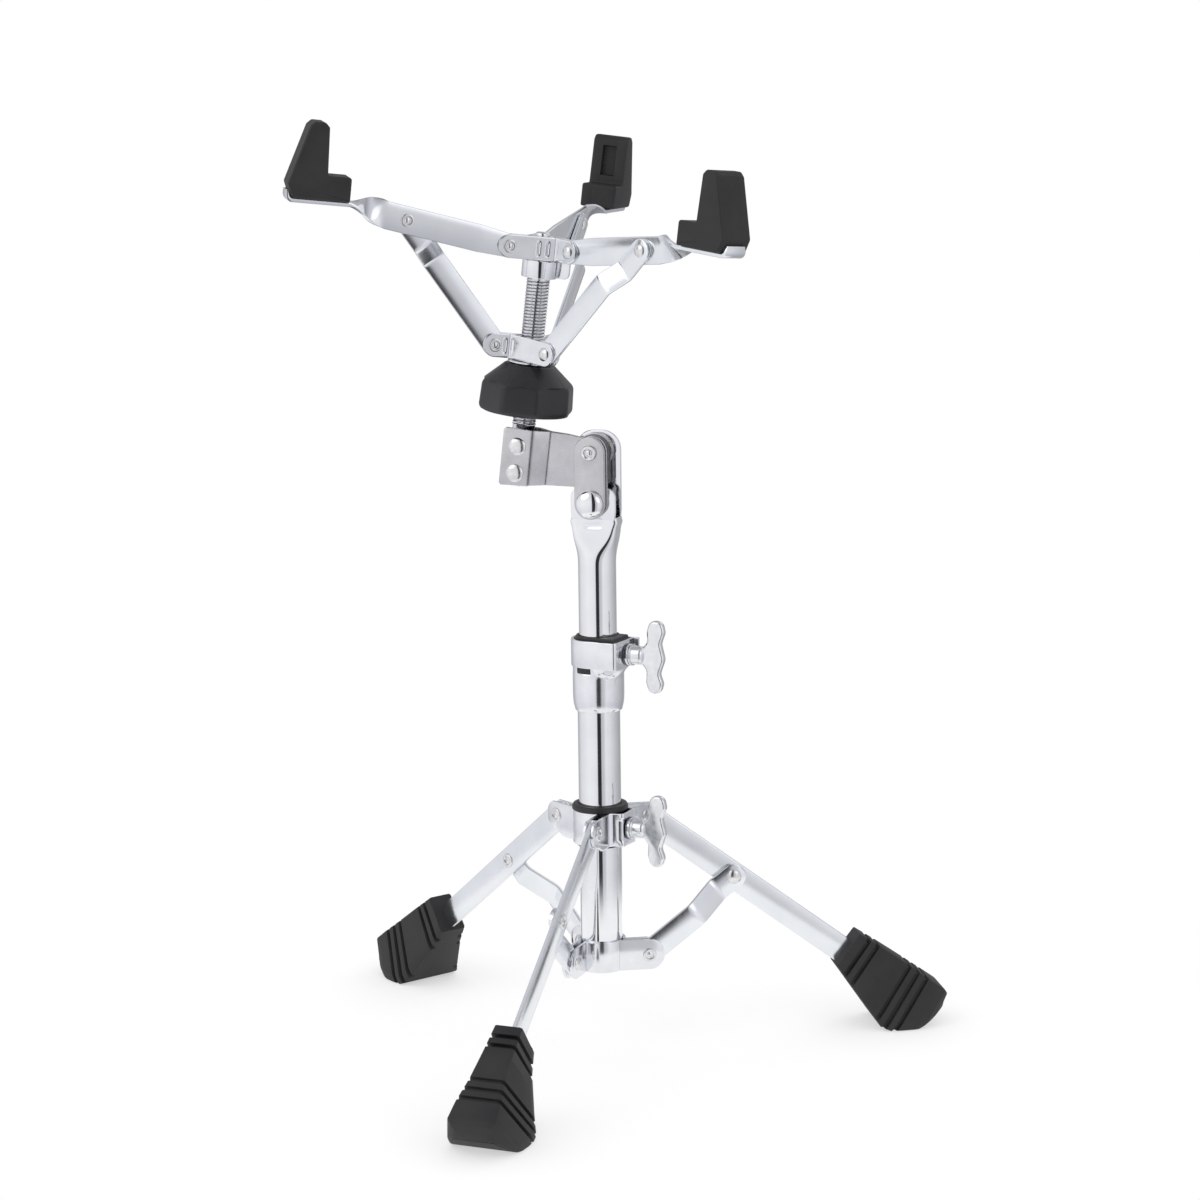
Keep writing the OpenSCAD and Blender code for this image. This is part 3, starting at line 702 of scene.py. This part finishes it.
for n, place in enumerate(leg_place, 1):
    front = n == 3
    line = hub_plate(43.4, 11.05, hub_r, 5.55, 1.5, around_pad if front else None)
    plate = bent_sheet(line, 2.0, fork_heights(141.5, 164.5, 10, leg_pin[1]), 0.5, 24 if front else 1,
                       pad_dent if front else None)
    piece(f"leg_hub_plate_{n}", plate, place, sheet_chrome, "sliding_hub", ["leg_hub"])
    line = hub_plate(41.5, -6.05, 15.4, -11.55, 1.0)
    plate = bent_sheet(line, 2.0, fork_heights(53.2, 74.4, 10.5, brace_pin[1]), 0.5)
    piece(f"lower_hub_plate_{n}", plate, place, sheet_chrome, "base", ["lower_hub"])
gap_shade_washer, washer_bright = washers(bolt_z[1], 22.5)
# The rim of the dark washer is painted shade for the gap beside the bright washer under the leg bolt.
piece("pad_gap_shade_washer", gap_shade_washer, bolt_place, dark_steel_and_painted_shade, "sliding_hub")
piece("pad_washer_bright", washer_bright, bolt_place, sheet_chrome, "sliding_hub")
bush_profile = [(14.37, 140.4), (14.8, 140), (16.0, 140), (16.36, 140.4), (16.36, 164.6), (18.6, 164.6),
                (19, 165), (19, 166.7), (18.7, 167.4), (18.1, 168.3), (17.6, 168.5), (15.2, 168.5),
                (14.37, 167.7)]
piece("hub_bush", turned(bush_profile, 128, True), column, black_plastic, "sliding_hub", ["hub_insert"])
print("hub strip with the pad runs", round(measured_path(around_pad)[1]), "mm round the tube")

# %% [markdown]
# ## Legs, braces and their rivets
# Legs and braces are flat strip with rolled edges. A brace starts beside the leg at the knee and is joggled
# sideways so that its lower end lands in the slot of the lower hub. Every joint is a tubular rivet: one
# side is a smooth dome, the other is rolled over into a ring.

# %% Rivet shapes
def rivet(x, z, y0, y1, shank, head, flip=False):
    """A dome before y0 and a rolled ring past y1; flip changes the two over."""
    dome, ring = y0 - 0.02, y1 + 0.02
    cap = [(0, -1.95), (0.35, -1.85), (0.65, -1.5), (0.88, -0.95), (1, -0.3), (1, 0)]
    roll = [(1, 0), (1, 0.45), (0.93, 0.95), (0.8, 1.15), (0.66, 1.0), (0.58, 0.5), (0.54, -0.3),
            (0.46, -0.35), (0.42, 0.3), (0.28, 0.7), (0, 0.85)]
    profile = [(head * r, dome + y) for r, y in cap] + [(shank, dome), (shank, ring)]
    profile += [(head * r, ring + y) for r, y in roll]
    if flip:
        profile = [(r, y0 + y1 - y) for r, y in profile]
    return moved(turned(profile, 48), (x, 0, z), (0, 1, 0))


def inclined(x, z, degrees):
    """A frame at a point of the flat drawing whose X runs up at an angle."""
    return Matrix.Translation((x * 0.001, 0, z * 0.001)) @ Matrix.Rotation(math.radians(-degrees), 4, "Y")


# %% Legs and braces
leg_slope, knee = -36.87, (92.68, 110.94)
leg_t, leg_w, brace_w, leg_y = 3.2, 18, 17, 8.3


def joggled(run, r, y0, y1, from_x, to_x, corner):
    """The plan line of a strip that steps sideways and runs past both of its rivets by r."""
    corners = [(-r, y0, 0), (from_x, y0, corner), (to_x, y1, corner), (run + r, y1, 0)]
    return rounded(corners, 10, closed=False)


def between(start, end):
    run = Vector(end) - Vector(start)
    return run.length, math.degrees(math.atan2(run.y, run.x))


brace_run, brace_rise = between(brace_pin, knee)
brace_line = joggled(brace_run, brace_w / 2, 4.9, -8.8, 15, 36, 9)
leg = bent_sheet([(-leg_w / 2, leg_y), (236, leg_y)], leg_t, bar_heights(leg_w, leg_w / 2, 0), 0.9)
brace = bent_sheet(brace_line, leg_t, bar_heights(brace_w, brace_w / 2, brace_w / 2), 0.9)
for n, place in enumerate(leg_place, 1):
    body = f"leg_{n}_body"
    piece(f"leg_strip_{n}", leg, place @ inclined(*leg_pin, leg_slope), strip_chrome, body, [f"leg_{n}"])
    piece(f"brace_strip_{n}", brace, place @ inclined(*knee, 180 + brace_rise), strip_chrome,
          f"brace_{n}_body", [f"brace_{n}"])
    for name, shape, rides, cad in (
            ("knee", rivet(*knee, 3.3, 9.9, 3, 5), body, f"leg_rivet_{n}"),
            ("hub", rivet(*leg_pin, 4.65, 11.95, 3, 5), "sliding_hub", "hub_rivets"),
            ("lower", rivet(*brace_pin, -12.45, -5.15, 2.9, 4.6, flip=True), "base", "lower_hub_rivets")):
        piece(f"{name}_rivet_{n}", shape, place, rivet_chrome, rides, [cad])
print("brace is", round(brace_run), "mm between its rivets and rises", round(brace_rise, 1), "degrees")

# %% [markdown]
# ## Rubber feet
# A foot is one block of moulded rubber pushed over the end of the leg. Its top is a narrow flat, its sides
# slope out to the width of the sole, deep fins cross the neck and three stepped grooves cross the toe. It
# is drawn as slices across the leg, and a groove is simply a run of smaller slices.

# %% Feet
def along(table, u):
    for (u0, v0), (u1, v1) in zip(table, table[1:]):
        if u <= u1:
            return v0 + (v1 - v0) * (u - u0) / (u1 - u0)
    return table[-1][1]


heel, toe = 170.4, 249.4
sole = [(heel, -10.7), (218.3, -26.8), (225.7, -24.9), (241.7, -12.9), (245.5, -6.4), (248.4, 2.0),
        (toe, 6.4)]
crown = [(heel, 17.0), (190, 18.2), (210, 18.8), (243, 19.2), (246.4, 18.0), (248.6, 13.5), (toe, 9.6)]
half_sole = [(heel, 10.6), (184, 12.6), (208, 19.8), (222, 24.6), (232, 25.0), (239, 24.4), (243.5, 22.2),
             (247, 18.4), (toe, 13.0)]
half_crown = [(heel, 8.6), (190, 9.4), (212, 11.2), (230, 14.5), (243, 15.5), (247, 12.5), (toe, 8.5)]
grooves = [(177.2, 180.2, 3.0, 3.4), (184.6, 187.4, 2.8, 3.2), (211.5, 214.2, 1.8, 3.0),
           (218.6, 221.4, 1.8, 3.0), (225.8, 228.6, 1.8, 3.0)]
slant = 0.25


def foot():
    """Each groove is (start, end, depth on top, depth at the sides), all measured along the leg."""
    cuts = set(round(heel + k, 2) for k in range(79)) | {toe}
    for a, b, _, _ in grooves:
        cuts |= {a - slant, a + slant, b - slant, b + slant}
    slices = []
    for u in sorted(cuts):
        top, bottom = along(crown, u), along(sole, u)
        wide, narrow = along(half_sole, u), along(half_crown, u)
        for a, b, deep, side in grooves:
            cut = window(u, a - slant, b + slant, 2 * slant)
            top, wide, narrow = top - deep * cut, wide - side * cut, narrow - 0.6 * side * cut
        foot_line = bottom + min(7.0, (top - bottom) * 0.3)
        e = min(1.6, (top - bottom) * 0.12)
        half = [(wide - e, bottom), (wide - 0.3 * e, bottom + 0.3 * e), (wide, bottom + e),
                (wide, foot_line - 1), (wide - 0.35, foot_line + 1), (narrow + 0.9, top - 1.3),
                (narrow + 0.3, top - 0.4), (narrow - 0.9, top)]
        slices.append([(u, leg_y + y, v) for y, v in half] + [(u, leg_y - y, v) for y, v in half[::-1]])
    return lofted(slices)


for n, place in enumerate(leg_place, 1):
    piece(f"foot_rubber_{n}", foot(), place @ inclined(*leg_pin, leg_slope), black_rubber, f"leg_{n}_body",
          [f"foot_{n}"], crisp=24)
print("a foot is", round(2 * max(w for _, w in half_sole)), "mm wide at the toe")

# %% [markdown]
# ## Tilter
# Two link plates ride on the front of the flared tube. Between and behind them sit thin friction plates
# and discs, and the two straps of the basket turn on one riveted pin through all of them. The lower bolt
# has a large polished dome in front and a wing nut at the back; tightening it squeezes the whole stack.

# %% Link plates and the friction stack
hinge_z, lock_z = 1000 * hinge["pos_m"][2], 1000 * joints["wing_nut_turn"]["pos_m"][2]


def link_outline(r):
    return arc(0, hinge_z, r, 0, 180, 28) + arc(0, lock_z, r, 180, 360, 28)


def tongue(r):
    feet = rounded([(-r, 400, 0), (-r, 386.6, 2), (r, 386.6, 2), (r, 400, 0)], 4, closed=False)
    return arc(0, hinge_z, r, 0, 180, 28) + feet


link_r = 10.6
plates = joined(pressed(link_outline(link_r), -13.8, 2.3, 0.7, 4),
                pressed(link_outline(link_r), -8.65, 2.2, 0.4))
piece("link_plates_pressed", plates, upper, satin_steel, "upper", ["link_plates"])
discs = ((-12.2, 9.9), (-11.2, 10.2), (-10.2, 9.9))
tongues = ((-6.7, 11.2), (-5.1, 10.9), (-3.5, 11.2), (3.5, 10.9), (4.95, 11.1))
layers = joined(*[pressed(link_outline(r), y, 0.62, 0.15, 2) for y, r in discs],
                *[pressed(tongue(r), y, 1.45, 0.3, 2) for y, r in tongues])
piece("friction_layers", layers, upper, dark_steel_and_painted_shade, "upper", ["tilter_discs"])
print("tilter has", len(discs) + len(tongues), "friction layers")

# %% Hinge pin, lock bolt and wing nut
def across_at(profile, z, n):
    """A profile of (radius, depth) turned round an axis that runs from front to back at height z."""
    return moved(turned(profile, n), (0, 0, z), (0, 1, 0))


pin = [(0, -17.1), (1.5, -17.0), (2.2, -16.5), (2.5, -15.6), (3.0, -15.6), (3.3, -16.9), (3.9, -17.35),
       (4.6, -17.3), (5.1, -16.7), (5.2, -15.9), (5.2, -15.0), (4, -15.0), (4, 7.45), (5.6, 7.45), (5.6, 8.6),
       (5.0, 9.5), (3.6, 9.8), (0, 9.8)]
dome = [(0, -20.85)] + [(9.5 * math.sin(math.radians(a)), -15.4 - 5.45 * math.cos(math.radians(a)))
                        for a in range(6, 96, 6)]
dome += [(9.4, -15.0), (4, -14.98), (4, 7.45), (8.2, 7.45), (8.5, 7.8), (8.5, 8.7), (8.2, 9.0), (4, 9.0),
         (4, 21.4), (3.6, 22), (0, 22)]
piece("tilter_pin_riveted", across_at(pin, hinge_z, 64), upper, rivet_chrome, "upper", ["tilter_pivot"])
piece("lock_bolt_domed", across_at(dome, lock_z, 96), upper, tube_chrome, "upper", ["lock_bolt"])
wing = rounded([(6.6, 11.2, 1.5), (8.5, 10.6, 1.5), (19.6, 13.5, 2), (23.4, 16.5, 3.2), (23.4, 20.8, 3.2),
                (19.0, 23.0, 3.5), (13.8, 21, 4), (10.4, 17, 5), (6.6, 16.2, 1)], 6)
nut = [(4.1, 9.4), (6.7, 9.4), (7, 9.8), (7, 13.5), (6.2, 16.1), (5.6, 16.5), (4.1, 16.5)]
wings = pressed(wing, 0, 4.4, 1.5, 5)
wing_parts = joined(moved(turned(nut, 64, True), aim=(0, 1, 0)),
                    *[([(y, z, way * x) for x, y, z in wings[0]], wings[1]) for way in (1, -1)])
piece("wing_nut_cast", moved(wing_parts, (0, 0, lock_z)), upper, cast_chrome, "wing_nut_body", ["wing_nut"],
      crisp=50)
print("hinge is", round(hinge_z - lock_z, 1), "mm above the lock bolt")

# %% [markdown]
# ## Straps and threaded shaft
# The straps lie together at the hinge, then spread apart to clasp the foot of the shaft between them, held
# by two domed rivets. The shaft is a plain pin at the bottom and carries a long rolled thread above. A dark
# core just above the roots of the thread shows through its valleys as painted shade.

# %% Straps
strap_top = [(-62, 6.6), (-60.6, 8), (-20, 8), (-8, 7), (12, -12)]
strap_low = [(-62, -29.6), (-60.6, -31), (-41, -29), (-10, -26), (8, -8), (12, -4)]
eye_r = 12


def strap_heights(s, total, p):
    eye = math.sqrt(max(eye_r ** 2 - p.x ** 2, 0.02)) if p.x > -eye_r else 0.0
    low = min(along(strap_low, p.x), -eye) if p.x < 8 else -eye
    return low, max(along(strap_top, p.x), eye) if p.x < 0 else eye


for side, label in ((-1, "front"), (1, "rear")):
    inner, outer = side * 1.25, side * 8.75
    line = rounded([(11.95, inner, 0), (-32, inner, 5), (-42, outer, 5), (-62, outer, 0)], 8, closed=False)
    piece(f"strap_{label}_bent", bent_sheet(line, 2.36, strap_heights, 0.45, ends=20.0), tilter, satin_steel,
          "tilter", [f"strap_{label}"])
strap_pins = joined(*[rivet(-51.5, z, -9.95, 9.95, 2.95, 6) for z in (-3.9, -21.9)])
piece("strap_pins", strap_pins, tilter, rivet_chrome, "tilter", ["strap_rivets"])
print("straps are", round(measured_path(line)[1]), "mm long")

# %% Threaded shaft
pitch, crest, thread_low, thread_high = 2.15, 8.0, 10.5, 108.5


def thread(r, z, a):
    if abs(r - crest) > 0.01:
        return r
    wave = (z / pitch - a / (2 * math.pi)) % 1.0
    fade = min(ramp(z, thread_low, 1.5), ramp(-z, -thread_high, 1.0))
    return crest - (1 - abs(2 * wave - 1)) * fade


step = pitch / 8
shaft_profile = [(0, -31), (6.8, -31), (7.45, -30.3), (7.5, 9.8), (crest, thread_low)]
shaft_profile += [(crest, thread_low + step * k) for k in range(1, int((thread_high - thread_low) / step))]
shaft_profile += [(7.95, 108.6), (11.5, 108.6), (11.8, 109), (11.8, 119.8), (11.4, 120.3), (4, 120.32),
                  (4, 136.15), (5.1, 136.15), (5.2, 136.5), (4.8, 137.6), (3.9, 138.3), (0, 138.6)]
piece("threaded_shaft", turned(shaft_profile, 56, flats=thread), shaft, tube_chrome, "tilter",
      ["basket_shaft"])
# A dark core just inside the thread roots shows between the crests as painted shade in the thread valleys.
root_shade = turned([(0, 11), (7.4, 11), (7.4, 108.2), (0, 108.2)], 64)
piece("thread_root_painted_shade", root_shade, shaft, dark_steel_and_painted_shade, "tilter")
print("thread pitch", pitch, "mm")

# %% [markdown]
# ## Knob, washer and spider
# The black knob is a threaded nut in a moulded grip. Turning it lifts the spider, and the spokes push the
# arms closed on the drum. The grip has eight finger flats and a smooth cone on top.

# %% Knob and washer
knob_r, flat_r, flat_turn = 32.0, 29.9, 10


def knob_flats(r, z, a):
    if r < 29.5:
        return r
    off = (math.degrees(a) - flat_turn + 22.5) % 45 - 22.5
    return min(r, r * flat_r / knob_r / math.cos(math.radians(off)) + 0.1)


grip = [(12.05, 18.5), (12.5, 18), (26.5, 18), (28.6, 18.4), (30.6, 19.4), (31.6, 20.8), (knob_r, 22.5),
        (31.6, 30), (31.3, 35.6), (31.1, 36.8), (30.4, 38.3), (29.4, 39.3), (18.0, 49.5), (17.2, 50.3),
        (16.2, 50.8), (12.5, 50.9), (12.05, 50.5)]
piece("knob_grip", turned(grip, 192, True, knob_flats), shaft, knob_plastic, "knob_body", ["knob"], crisp=24)
core = [(8.06, 19.2), (8.8, 18.7), (11.6, 18.7), (11.99, 19.1), (11.99, 50.5), (11.6, 50.85), (8.7, 50.85),
        (8.06, 50.2)]
piece("knob_core", turned(core, 96, True), shaft, rivet_chrome, "knob_body", ["knob_nut"])
flat_washer = [(8.35, 51.7), (8.6, 51.52), (14.6, 51.52), (15, 51.9), (15, 52.5), (14.6, 52.88), (8.6, 52.88),
               (8.35, 52.7)]
piece("flat_washer", turned(flat_washer, 96, True), shaft, sheet_chrome, "spider_body", ["spider_washer"])
print("knob is", 2 * knob_r, "mm across")

# %% Spider and upper bracket
def v_plate(reach, y_here, apex, y_next, corner):
    corners = [(reach, y_here, 0), (apex, y_here, corner), (*next_leg(reach, y_next), 0)]
    return rounded(corners, 8, closed=False)


def dents(centres):
    def push(f, s, total):
        return 0.55 * window(f, 0.16, 0.84, 0.06) * max(bump(s, c, 0.9) for c in centres)
    return push


arm_pin, elbow, spoke_pin, arm_y = (23.0, 128.2), (91.7, 139.0), (24.0, 61.0), 5.5
forks = (("bracket", "tilter", "upper_bracket", v_plate(30.8, 8.15, -8.0, 2.85, 2.2),
          round_ends(120.4, 136, 7.8, arm_pin[1], 7.8, arm_pin[1]), (27.0, 33.0),
          (*arm_pin, 1.85, 9.15, 2.5, 4.4)),
         ("spider", "spider_body", "spider", v_plate(32, -4.25, 13.48, -9.55, 2.2),
          round_ends(53, 69, 8, spoke_pin[1], 8, spoke_pin[1]), (14.6, 22.0),
          (*spoke_pin, -10.55, -3.25, 2.9, 4.4)))
for n, place in enumerate(arm_place, 1):
    for name, body, cad, line, heights, marks, pin in forks:
        plate = bent_sheet(line, 2.0, heights, 0.5, 16, dents(marks), ends=40.0)
        piece(f"{name}_plate_{n}", plate, place, sheet_chrome, body, [cad])
    for name, body, cad, line, heights, marks, pin in forks:
        piece(f"{name}_rivet_{n}", rivet(*pin), place, rivet_chrome, body, [name + "_rivets"])
middle = [(4.05, 120.6), (7.2, 120.5), (7.7, 121), (7.7, 135.4), (7.2, 135.9), (4.05, 135.9)]
piece("bracket_core", turned(middle, 64, True), shaft, sheet_chrome, "tilter")
tab = rounded([(9.0, 108.9, 1), (19.6, 108.9, 3.5), (19.6, 121.5, 0.5), (9.0, 121.5, 0.5)], 5)
piece("bracket_tab", pressed(tab, 4.6, 2.0, 0.4), shaft, sheet_chrome, "tilter")
middle = [(8.35, 53.4), (9.4, 53.3), (9.8, 53.7), (9.8, 68.2), (9.4, 68.6), (8.35, 68.5)]
piece("spider_core", turned(middle, 64, True), shaft, sheet_chrome, "spider_body")
print("spider and bracket stand", round(arm_pin[1] - spoke_pin[1], 1), "mm apart")

# %% [markdown]
# ## Basket arms, spokes and rubber tips
# An arm is flat strip standing on edge near the centre. Past the elbow it is twisted a quarter turn so that
# it lies flat under the rubber tip, and its very end is turned up to stop the tip from sliding off.

# %% Arm strip
arm_t, arm_half, arm_end_r = 3.0, 9, 7.7
twist_x, twist_z, twist_run, flat_z = 105, 141.09, 26, 146.5


def upright_stations(rise):
    """The sloping part that stands on edge, from its round end to where the twist begins."""
    run = (twist_x - arm_pin[0]) / math.cos(rise)
    us = [-7.65 + 0.35 * k for k in range(30)]
    us += [us[-1] + 2 * k for k in range(1, int((run - us[-1]) / 2) + 1)]
    ahead, across = Vector((math.cos(rise), 0, math.sin(rise))), (-math.sin(rise), 0, math.cos(rise))
    for u in us:
        half = arm_end_r + 1.3 * ramp(u, 0, 20) if u >= 0 else math.sqrt(max(arm_end_r ** 2 - u * u, 0.12))
        yield Vector((arm_pin[0], arm_y, arm_pin[1])) + ahead * u, across, (0, 1, 0), -half, half, arm_t, None


def twisted_stations(rise, steps=24):
    y = Vector((0, 1, 0))
    for k in range(steps + 1):
        t = k / steps
        turn = math.radians(90) * t * t * (3 - 2 * t)
        slope = rise * (1 - t) + math.radians(4) * math.sin(math.pi * t)
        n = Vector((-math.sin(slope), 0, math.cos(slope)))
        z = twist_z + (flat_z - twist_z) * (t + 0.22 * math.sin(math.pi * t) * (1 - t))
        yield ((twist_x + twist_run * t, arm_y, z), n * math.cos(turn) - y * math.sin(turn),
               n * math.sin(turn) + y * math.cos(turn), -arm_half, arm_half, arm_t, None)


def flat_stations():
    """The flat seat under the tip and its turned-up end."""
    line = rounded([(133, flat_z, 0), (171.3, flat_z, 3.0), (171.3, 152.9, 0)], 8, closed=False)
    line = [(133 + 2 * k, flat_z) for k in range(17)] + [p for p in line if p[0] > 166]
    for k, p in enumerate(line):
        a, b = line[max(k - 1, 0)], line[min(k + 1, len(line) - 1)]
        d = Vector((b[0] - a[0], 0, b[1] - a[1])).normalized()
        half = arm_half - (1.2 if k == len(line) - 1 else 0)
        yield (p[0], arm_y, p[1]), (0, -1, 0), (-d.z, 0, d.x), -half, half, arm_t, None


def arm_strip():
    rise = math.radians(between(arm_pin, elbow)[1])
    return strip([*upright_stations(rise), *twisted_stations(rise), *flat_stations()], 0.8)


print("arm rises", round(between(arm_pin, elbow)[1], 1), "degrees before its twist")

# %% Arms, tips, elbow rivets and spokes
spoke_run, spoke_drop = between(spoke_pin, elbow)
spoke_end_r = 7.8
spoke_line = joggled(spoke_run, spoke_end_r, 2.3, -6.9, 20, 33, 6)
tip_back = [(131.5, 148.05, 1.2), (169, 148.05, 2.5), (172.5, 157, 3), (161, 194.6, 2.6), (158, 197.5, 2.2),
            (151.2, 197.5, 2.6)]
tip_step = [(147, 164, 1.6), (131.5, 164, 1.8)]
side_outline = rounded(tip_back + [(148.3, 194.5, 2)] + tip_step, 5)
pocket = [(148.3, 194.5, 1.2), (148.2, 190.6, 0.4), (151.6, 190.2, 0.6), (151.0, 170.2, 0.6),
          (147.3, 169.8, 0.4)]
mid_outline = rounded(tip_back + pocket + tip_step, 5)
cheek_y, cheek_t = 8.75, 7.48
rubber = joined(pressed(side_outline, arm_y - cheek_y, cheek_t, 1.4, 5, 0.02),
                pressed(mid_outline, arm_y, 9.98, 0.02, 1),
                pressed(side_outline, arm_y + cheek_y, cheek_t, 0.02, 5, 1.4))
spoke = bent_sheet(spoke_line, arm_t, bar_heights(16, spoke_end_r, spoke_end_r), 0.8)
elbow_rivet = rivet(*elbow, 0.8, 7.0, 2.5, 4.4)
for n, place in enumerate(arm_place, 1):
    body = f"arm_{n}_body"
    piece(f"arm_strip_{n}", arm_strip(), place, strip_chrome, body, [f"arm_{n}"])
    piece(f"tip_rubber_{n}", rubber, place, black_rubber, body, [f"tip_{n}"], crisp=30)
    piece(f"elbow_rivet_{n}", elbow_rivet, place, rivet_chrome, body, [f"arm_rivet_{n}"])
    piece(f"spoke_strip_{n}", spoke, place @ inclined(*elbow, 180 + spoke_drop), strip_chrome,
          f"spoke_{n}_body", [f"spoke_{n}"])
print("spokes are", round(spoke_run), "mm between rivets")

# %% [markdown]
# ## Studio
# A bright, even surround with one narrow dark gap behind the camera gives chrome its look: broad white
# faces and one crisp dark line down every tube. The floor is a plain pale disc, small enough that the tubes
# reflect the surround and not the floor, and its rim fades away into the white behind it.

# %% Floor
camera_turn, camera_rise, camera_far = math.radians(21.8), math.radians(9.9), 2.0


def studio_floor(radius=0.50):
    mesh = bpy.data.meshes.new("studio_floor")
    angles = [math.radians(a) for a in range(0, 360, 6)]
    ring = [(radius * math.cos(a), radius * math.sin(a), 0.0) for a in angles]
    mesh.from_pydata(ring, [], [tuple(range(len(ring)))])
    floor = in_scene("studio_floor", mesh)
    paper, tree, shader = main_shader("studio_paper")
    fibre = node(tree, "ShaderNodeTexNoise", -600, 0, {"Scale": 300.0})
    tone = node(tree, "ShaderNodeValToRGB", -350, 0)
    for stop, grey in zip(tone.color_ramp.elements, (0.45, 0.47)):
        stop.color = (grey, grey, grey, 1)
    where = node(tree, "ShaderNodeTexCoord", -900, -300)
    reach = node(tree, "ShaderNodeVectorMath", -700, -300, operation="LENGTH")
    rim = {"From Min": 0.30, "From Max": 0.46, "To Min": 1.0, "To Max": 0.0}
    fade = node(tree, "ShaderNodeMapRange", -500, -300, rim, interpolation_type="SMOOTHSTEP")
    wire(tree, (fibre.outputs[0], tone.inputs[0]), (tone.outputs[0], shader.inputs["Base Color"]),
         (where.outputs["Object"], reach.inputs[0]), (reach.outputs["Value"], fade.inputs["Value"]),
         (fade.outputs[0], shader.inputs["Alpha"]))
    fill(shader, {"Roughness": 0.9, "Emission Color": (1.0, 1.0, 1.0, 1), "Emission Strength": 0.53})
    mesh.materials.append(paper)
    print("floor is", 2 * radius, "m across")


studio_floor()


# %% Surround
def level_ramp(tree, stops, x, y):
    made = node(tree, "ShaderNodeValToRGB", x, y)
    elements = made.color_ramp.elements
    for position, level in stops[1:-1]:
        elements.new(position).color = (level, level, min(1.0, level * 1.03), 1)
    for end, (position, level) in ((0, stops[0]), (-1, stops[-1])):
        elements[end].position = position
        elements[end].color = (level, level, min(1.0, level * 1.03), 1)
    return made


def surround():
    world = bpy.data.worlds.new("studio_surround")
    bpy.context.scene.world = world
    world.use_nodes = True
    tree = world.node_tree
    tree.nodes.clear()
    out = node(tree, "ShaderNodeOutputWorld", 900, 0)
    where = node(tree, "ShaderNodeTexCoord", -900, 0)
    turn = node(tree, "ShaderNodeMapping", -700, 0, {"Rotation": (0, 0, math.radians(90) - camera_turn)})
    around = node(tree, "ShaderNodeTexGradient", -500, 0, gradient_type="RADIAL")
    levels = [(-180, 0.55), (-150, 0.50), (-115, 0.85), (-60, 1.0), (-26, 0.95), (-11.5, 0.86), (-9, 0.03),
              (9, 0.03), (11.5, 0.60), (24, 0.66), (34, 0.92), (60, 0.85), (100, 0.60), (140, 0.42),
              (180, 0.55)]
    bands = level_ramp(tree, [(0.5 + a / 360, level) for a, level in levels], -300, 0)
    split = node(tree, "ShaderNodeSeparateXYZ", -500, -300)
    height = maths(tree, "MULTIPLY_ADD", split.outputs["Z"], 0.5, -400, -300)
    height.node.inputs[2].default_value = 0.5
    rises = [(0.0, 0.80), (0.30, 0.92), (0.45, 1.0), (0.6, 1.0), (0.8, 0.85), (1.0, 0.75)]
    rise = level_ramp(tree, rises, -250, -300)
    both = node(tree, "ShaderNodeMix", 0, -100, {0: 1.0}, data_type="RGBA", blend_type="MULTIPLY")
    mirrored, plain, seen = [node(tree, "ShaderNodeBackground", 300, y) for y in (-100, 50, 200)]
    for white, strength in ((plain, 0.95), (seen, 1.0)):
        fill(white, {0: (1.0, 1.0, 1.0, 1), 1: strength})
    ray = node(tree, "ShaderNodeLightPath", 100, 400)
    glossy, mix = [node(tree, "ShaderNodeMixShader", x, 0) for x in (500, 700)]
    wire(tree, (where.outputs["Generated"], turn.inputs["Vector"]), (turn.outputs[0], around.inputs[0]),
         (around.outputs["Fac"], bands.inputs[0]), (where.outputs["Generated"], split.inputs[0]),
         (height, rise.inputs[0]), (bands.outputs[0], both.inputs[6]), (rise.outputs[0], both.inputs[7]),
         (both.outputs[2], mirrored.inputs[0]), (ray.outputs["Is Glossy Ray"], glossy.inputs[0]),
         (plain.outputs[0], glossy.inputs[1]), (mirrored.outputs[0], glossy.inputs[2]),
         (ray.outputs["Is Camera Ray"], mix.inputs[0]), (glossy.outputs[0], mix.inputs[1]),
         (seen.outputs[0], mix.inputs[2]), (mix.outputs[0], out.inputs[0]))
    print("surround has", len(levels), "bands")


surround()


# %% Lights
def soft_light(name, place, size, watts):
    lamp = bpy.data.lights.new(name, "AREA")
    lamp.shape, lamp.size, lamp.energy = "DISK", size, watts
    made = in_scene(name, lamp)
    made.location = place
    made.rotation_mode = "QUATERNION"
    made.rotation_quaternion = (Vector((0, 0, 0.3)) - Vector(place)).to_track_quat("-Z", "Y")


soft_light("key_light", (-1.6, -2.0, 2.4), 2.8, 12)
soft_light("fill_light", (2.2, -1.2, 1.6), 2.0, 4)
soft_light("back_light", (0.6, 2.2, 2.2), 2.4, 7)
bpy.context.scene.view_settings.view_transform = "Standard"


# %% Camera
def camera():
    data = bpy.data.cameras.new("stand_camera")
    data.lens, data.sensor_width = 89.75, 36.0
    made = in_scene("stand_camera", data)
    right = Vector((math.cos(camera_turn), math.sin(camera_turn), 0))
    target = right * 0.00165 + Vector((0, 0, 0.30727))
    level = math.cos(camera_rise)
    back = Vector((math.sin(camera_turn) * level, -math.cos(camera_turn) * level, math.sin(camera_rise)))
    made.location = target + back * camera_far
    made.rotation_mode = "QUATERNION"
    look = (-back).to_track_quat("-Z", "Y")
    made.rotation_quaternion = look @ Matrix.Rotation(math.radians(-0.714), 3, "Z").to_quaternion()
    bpy.context.scene.camera = made


camera()
print("camera stands", camera_far, "m from the column")
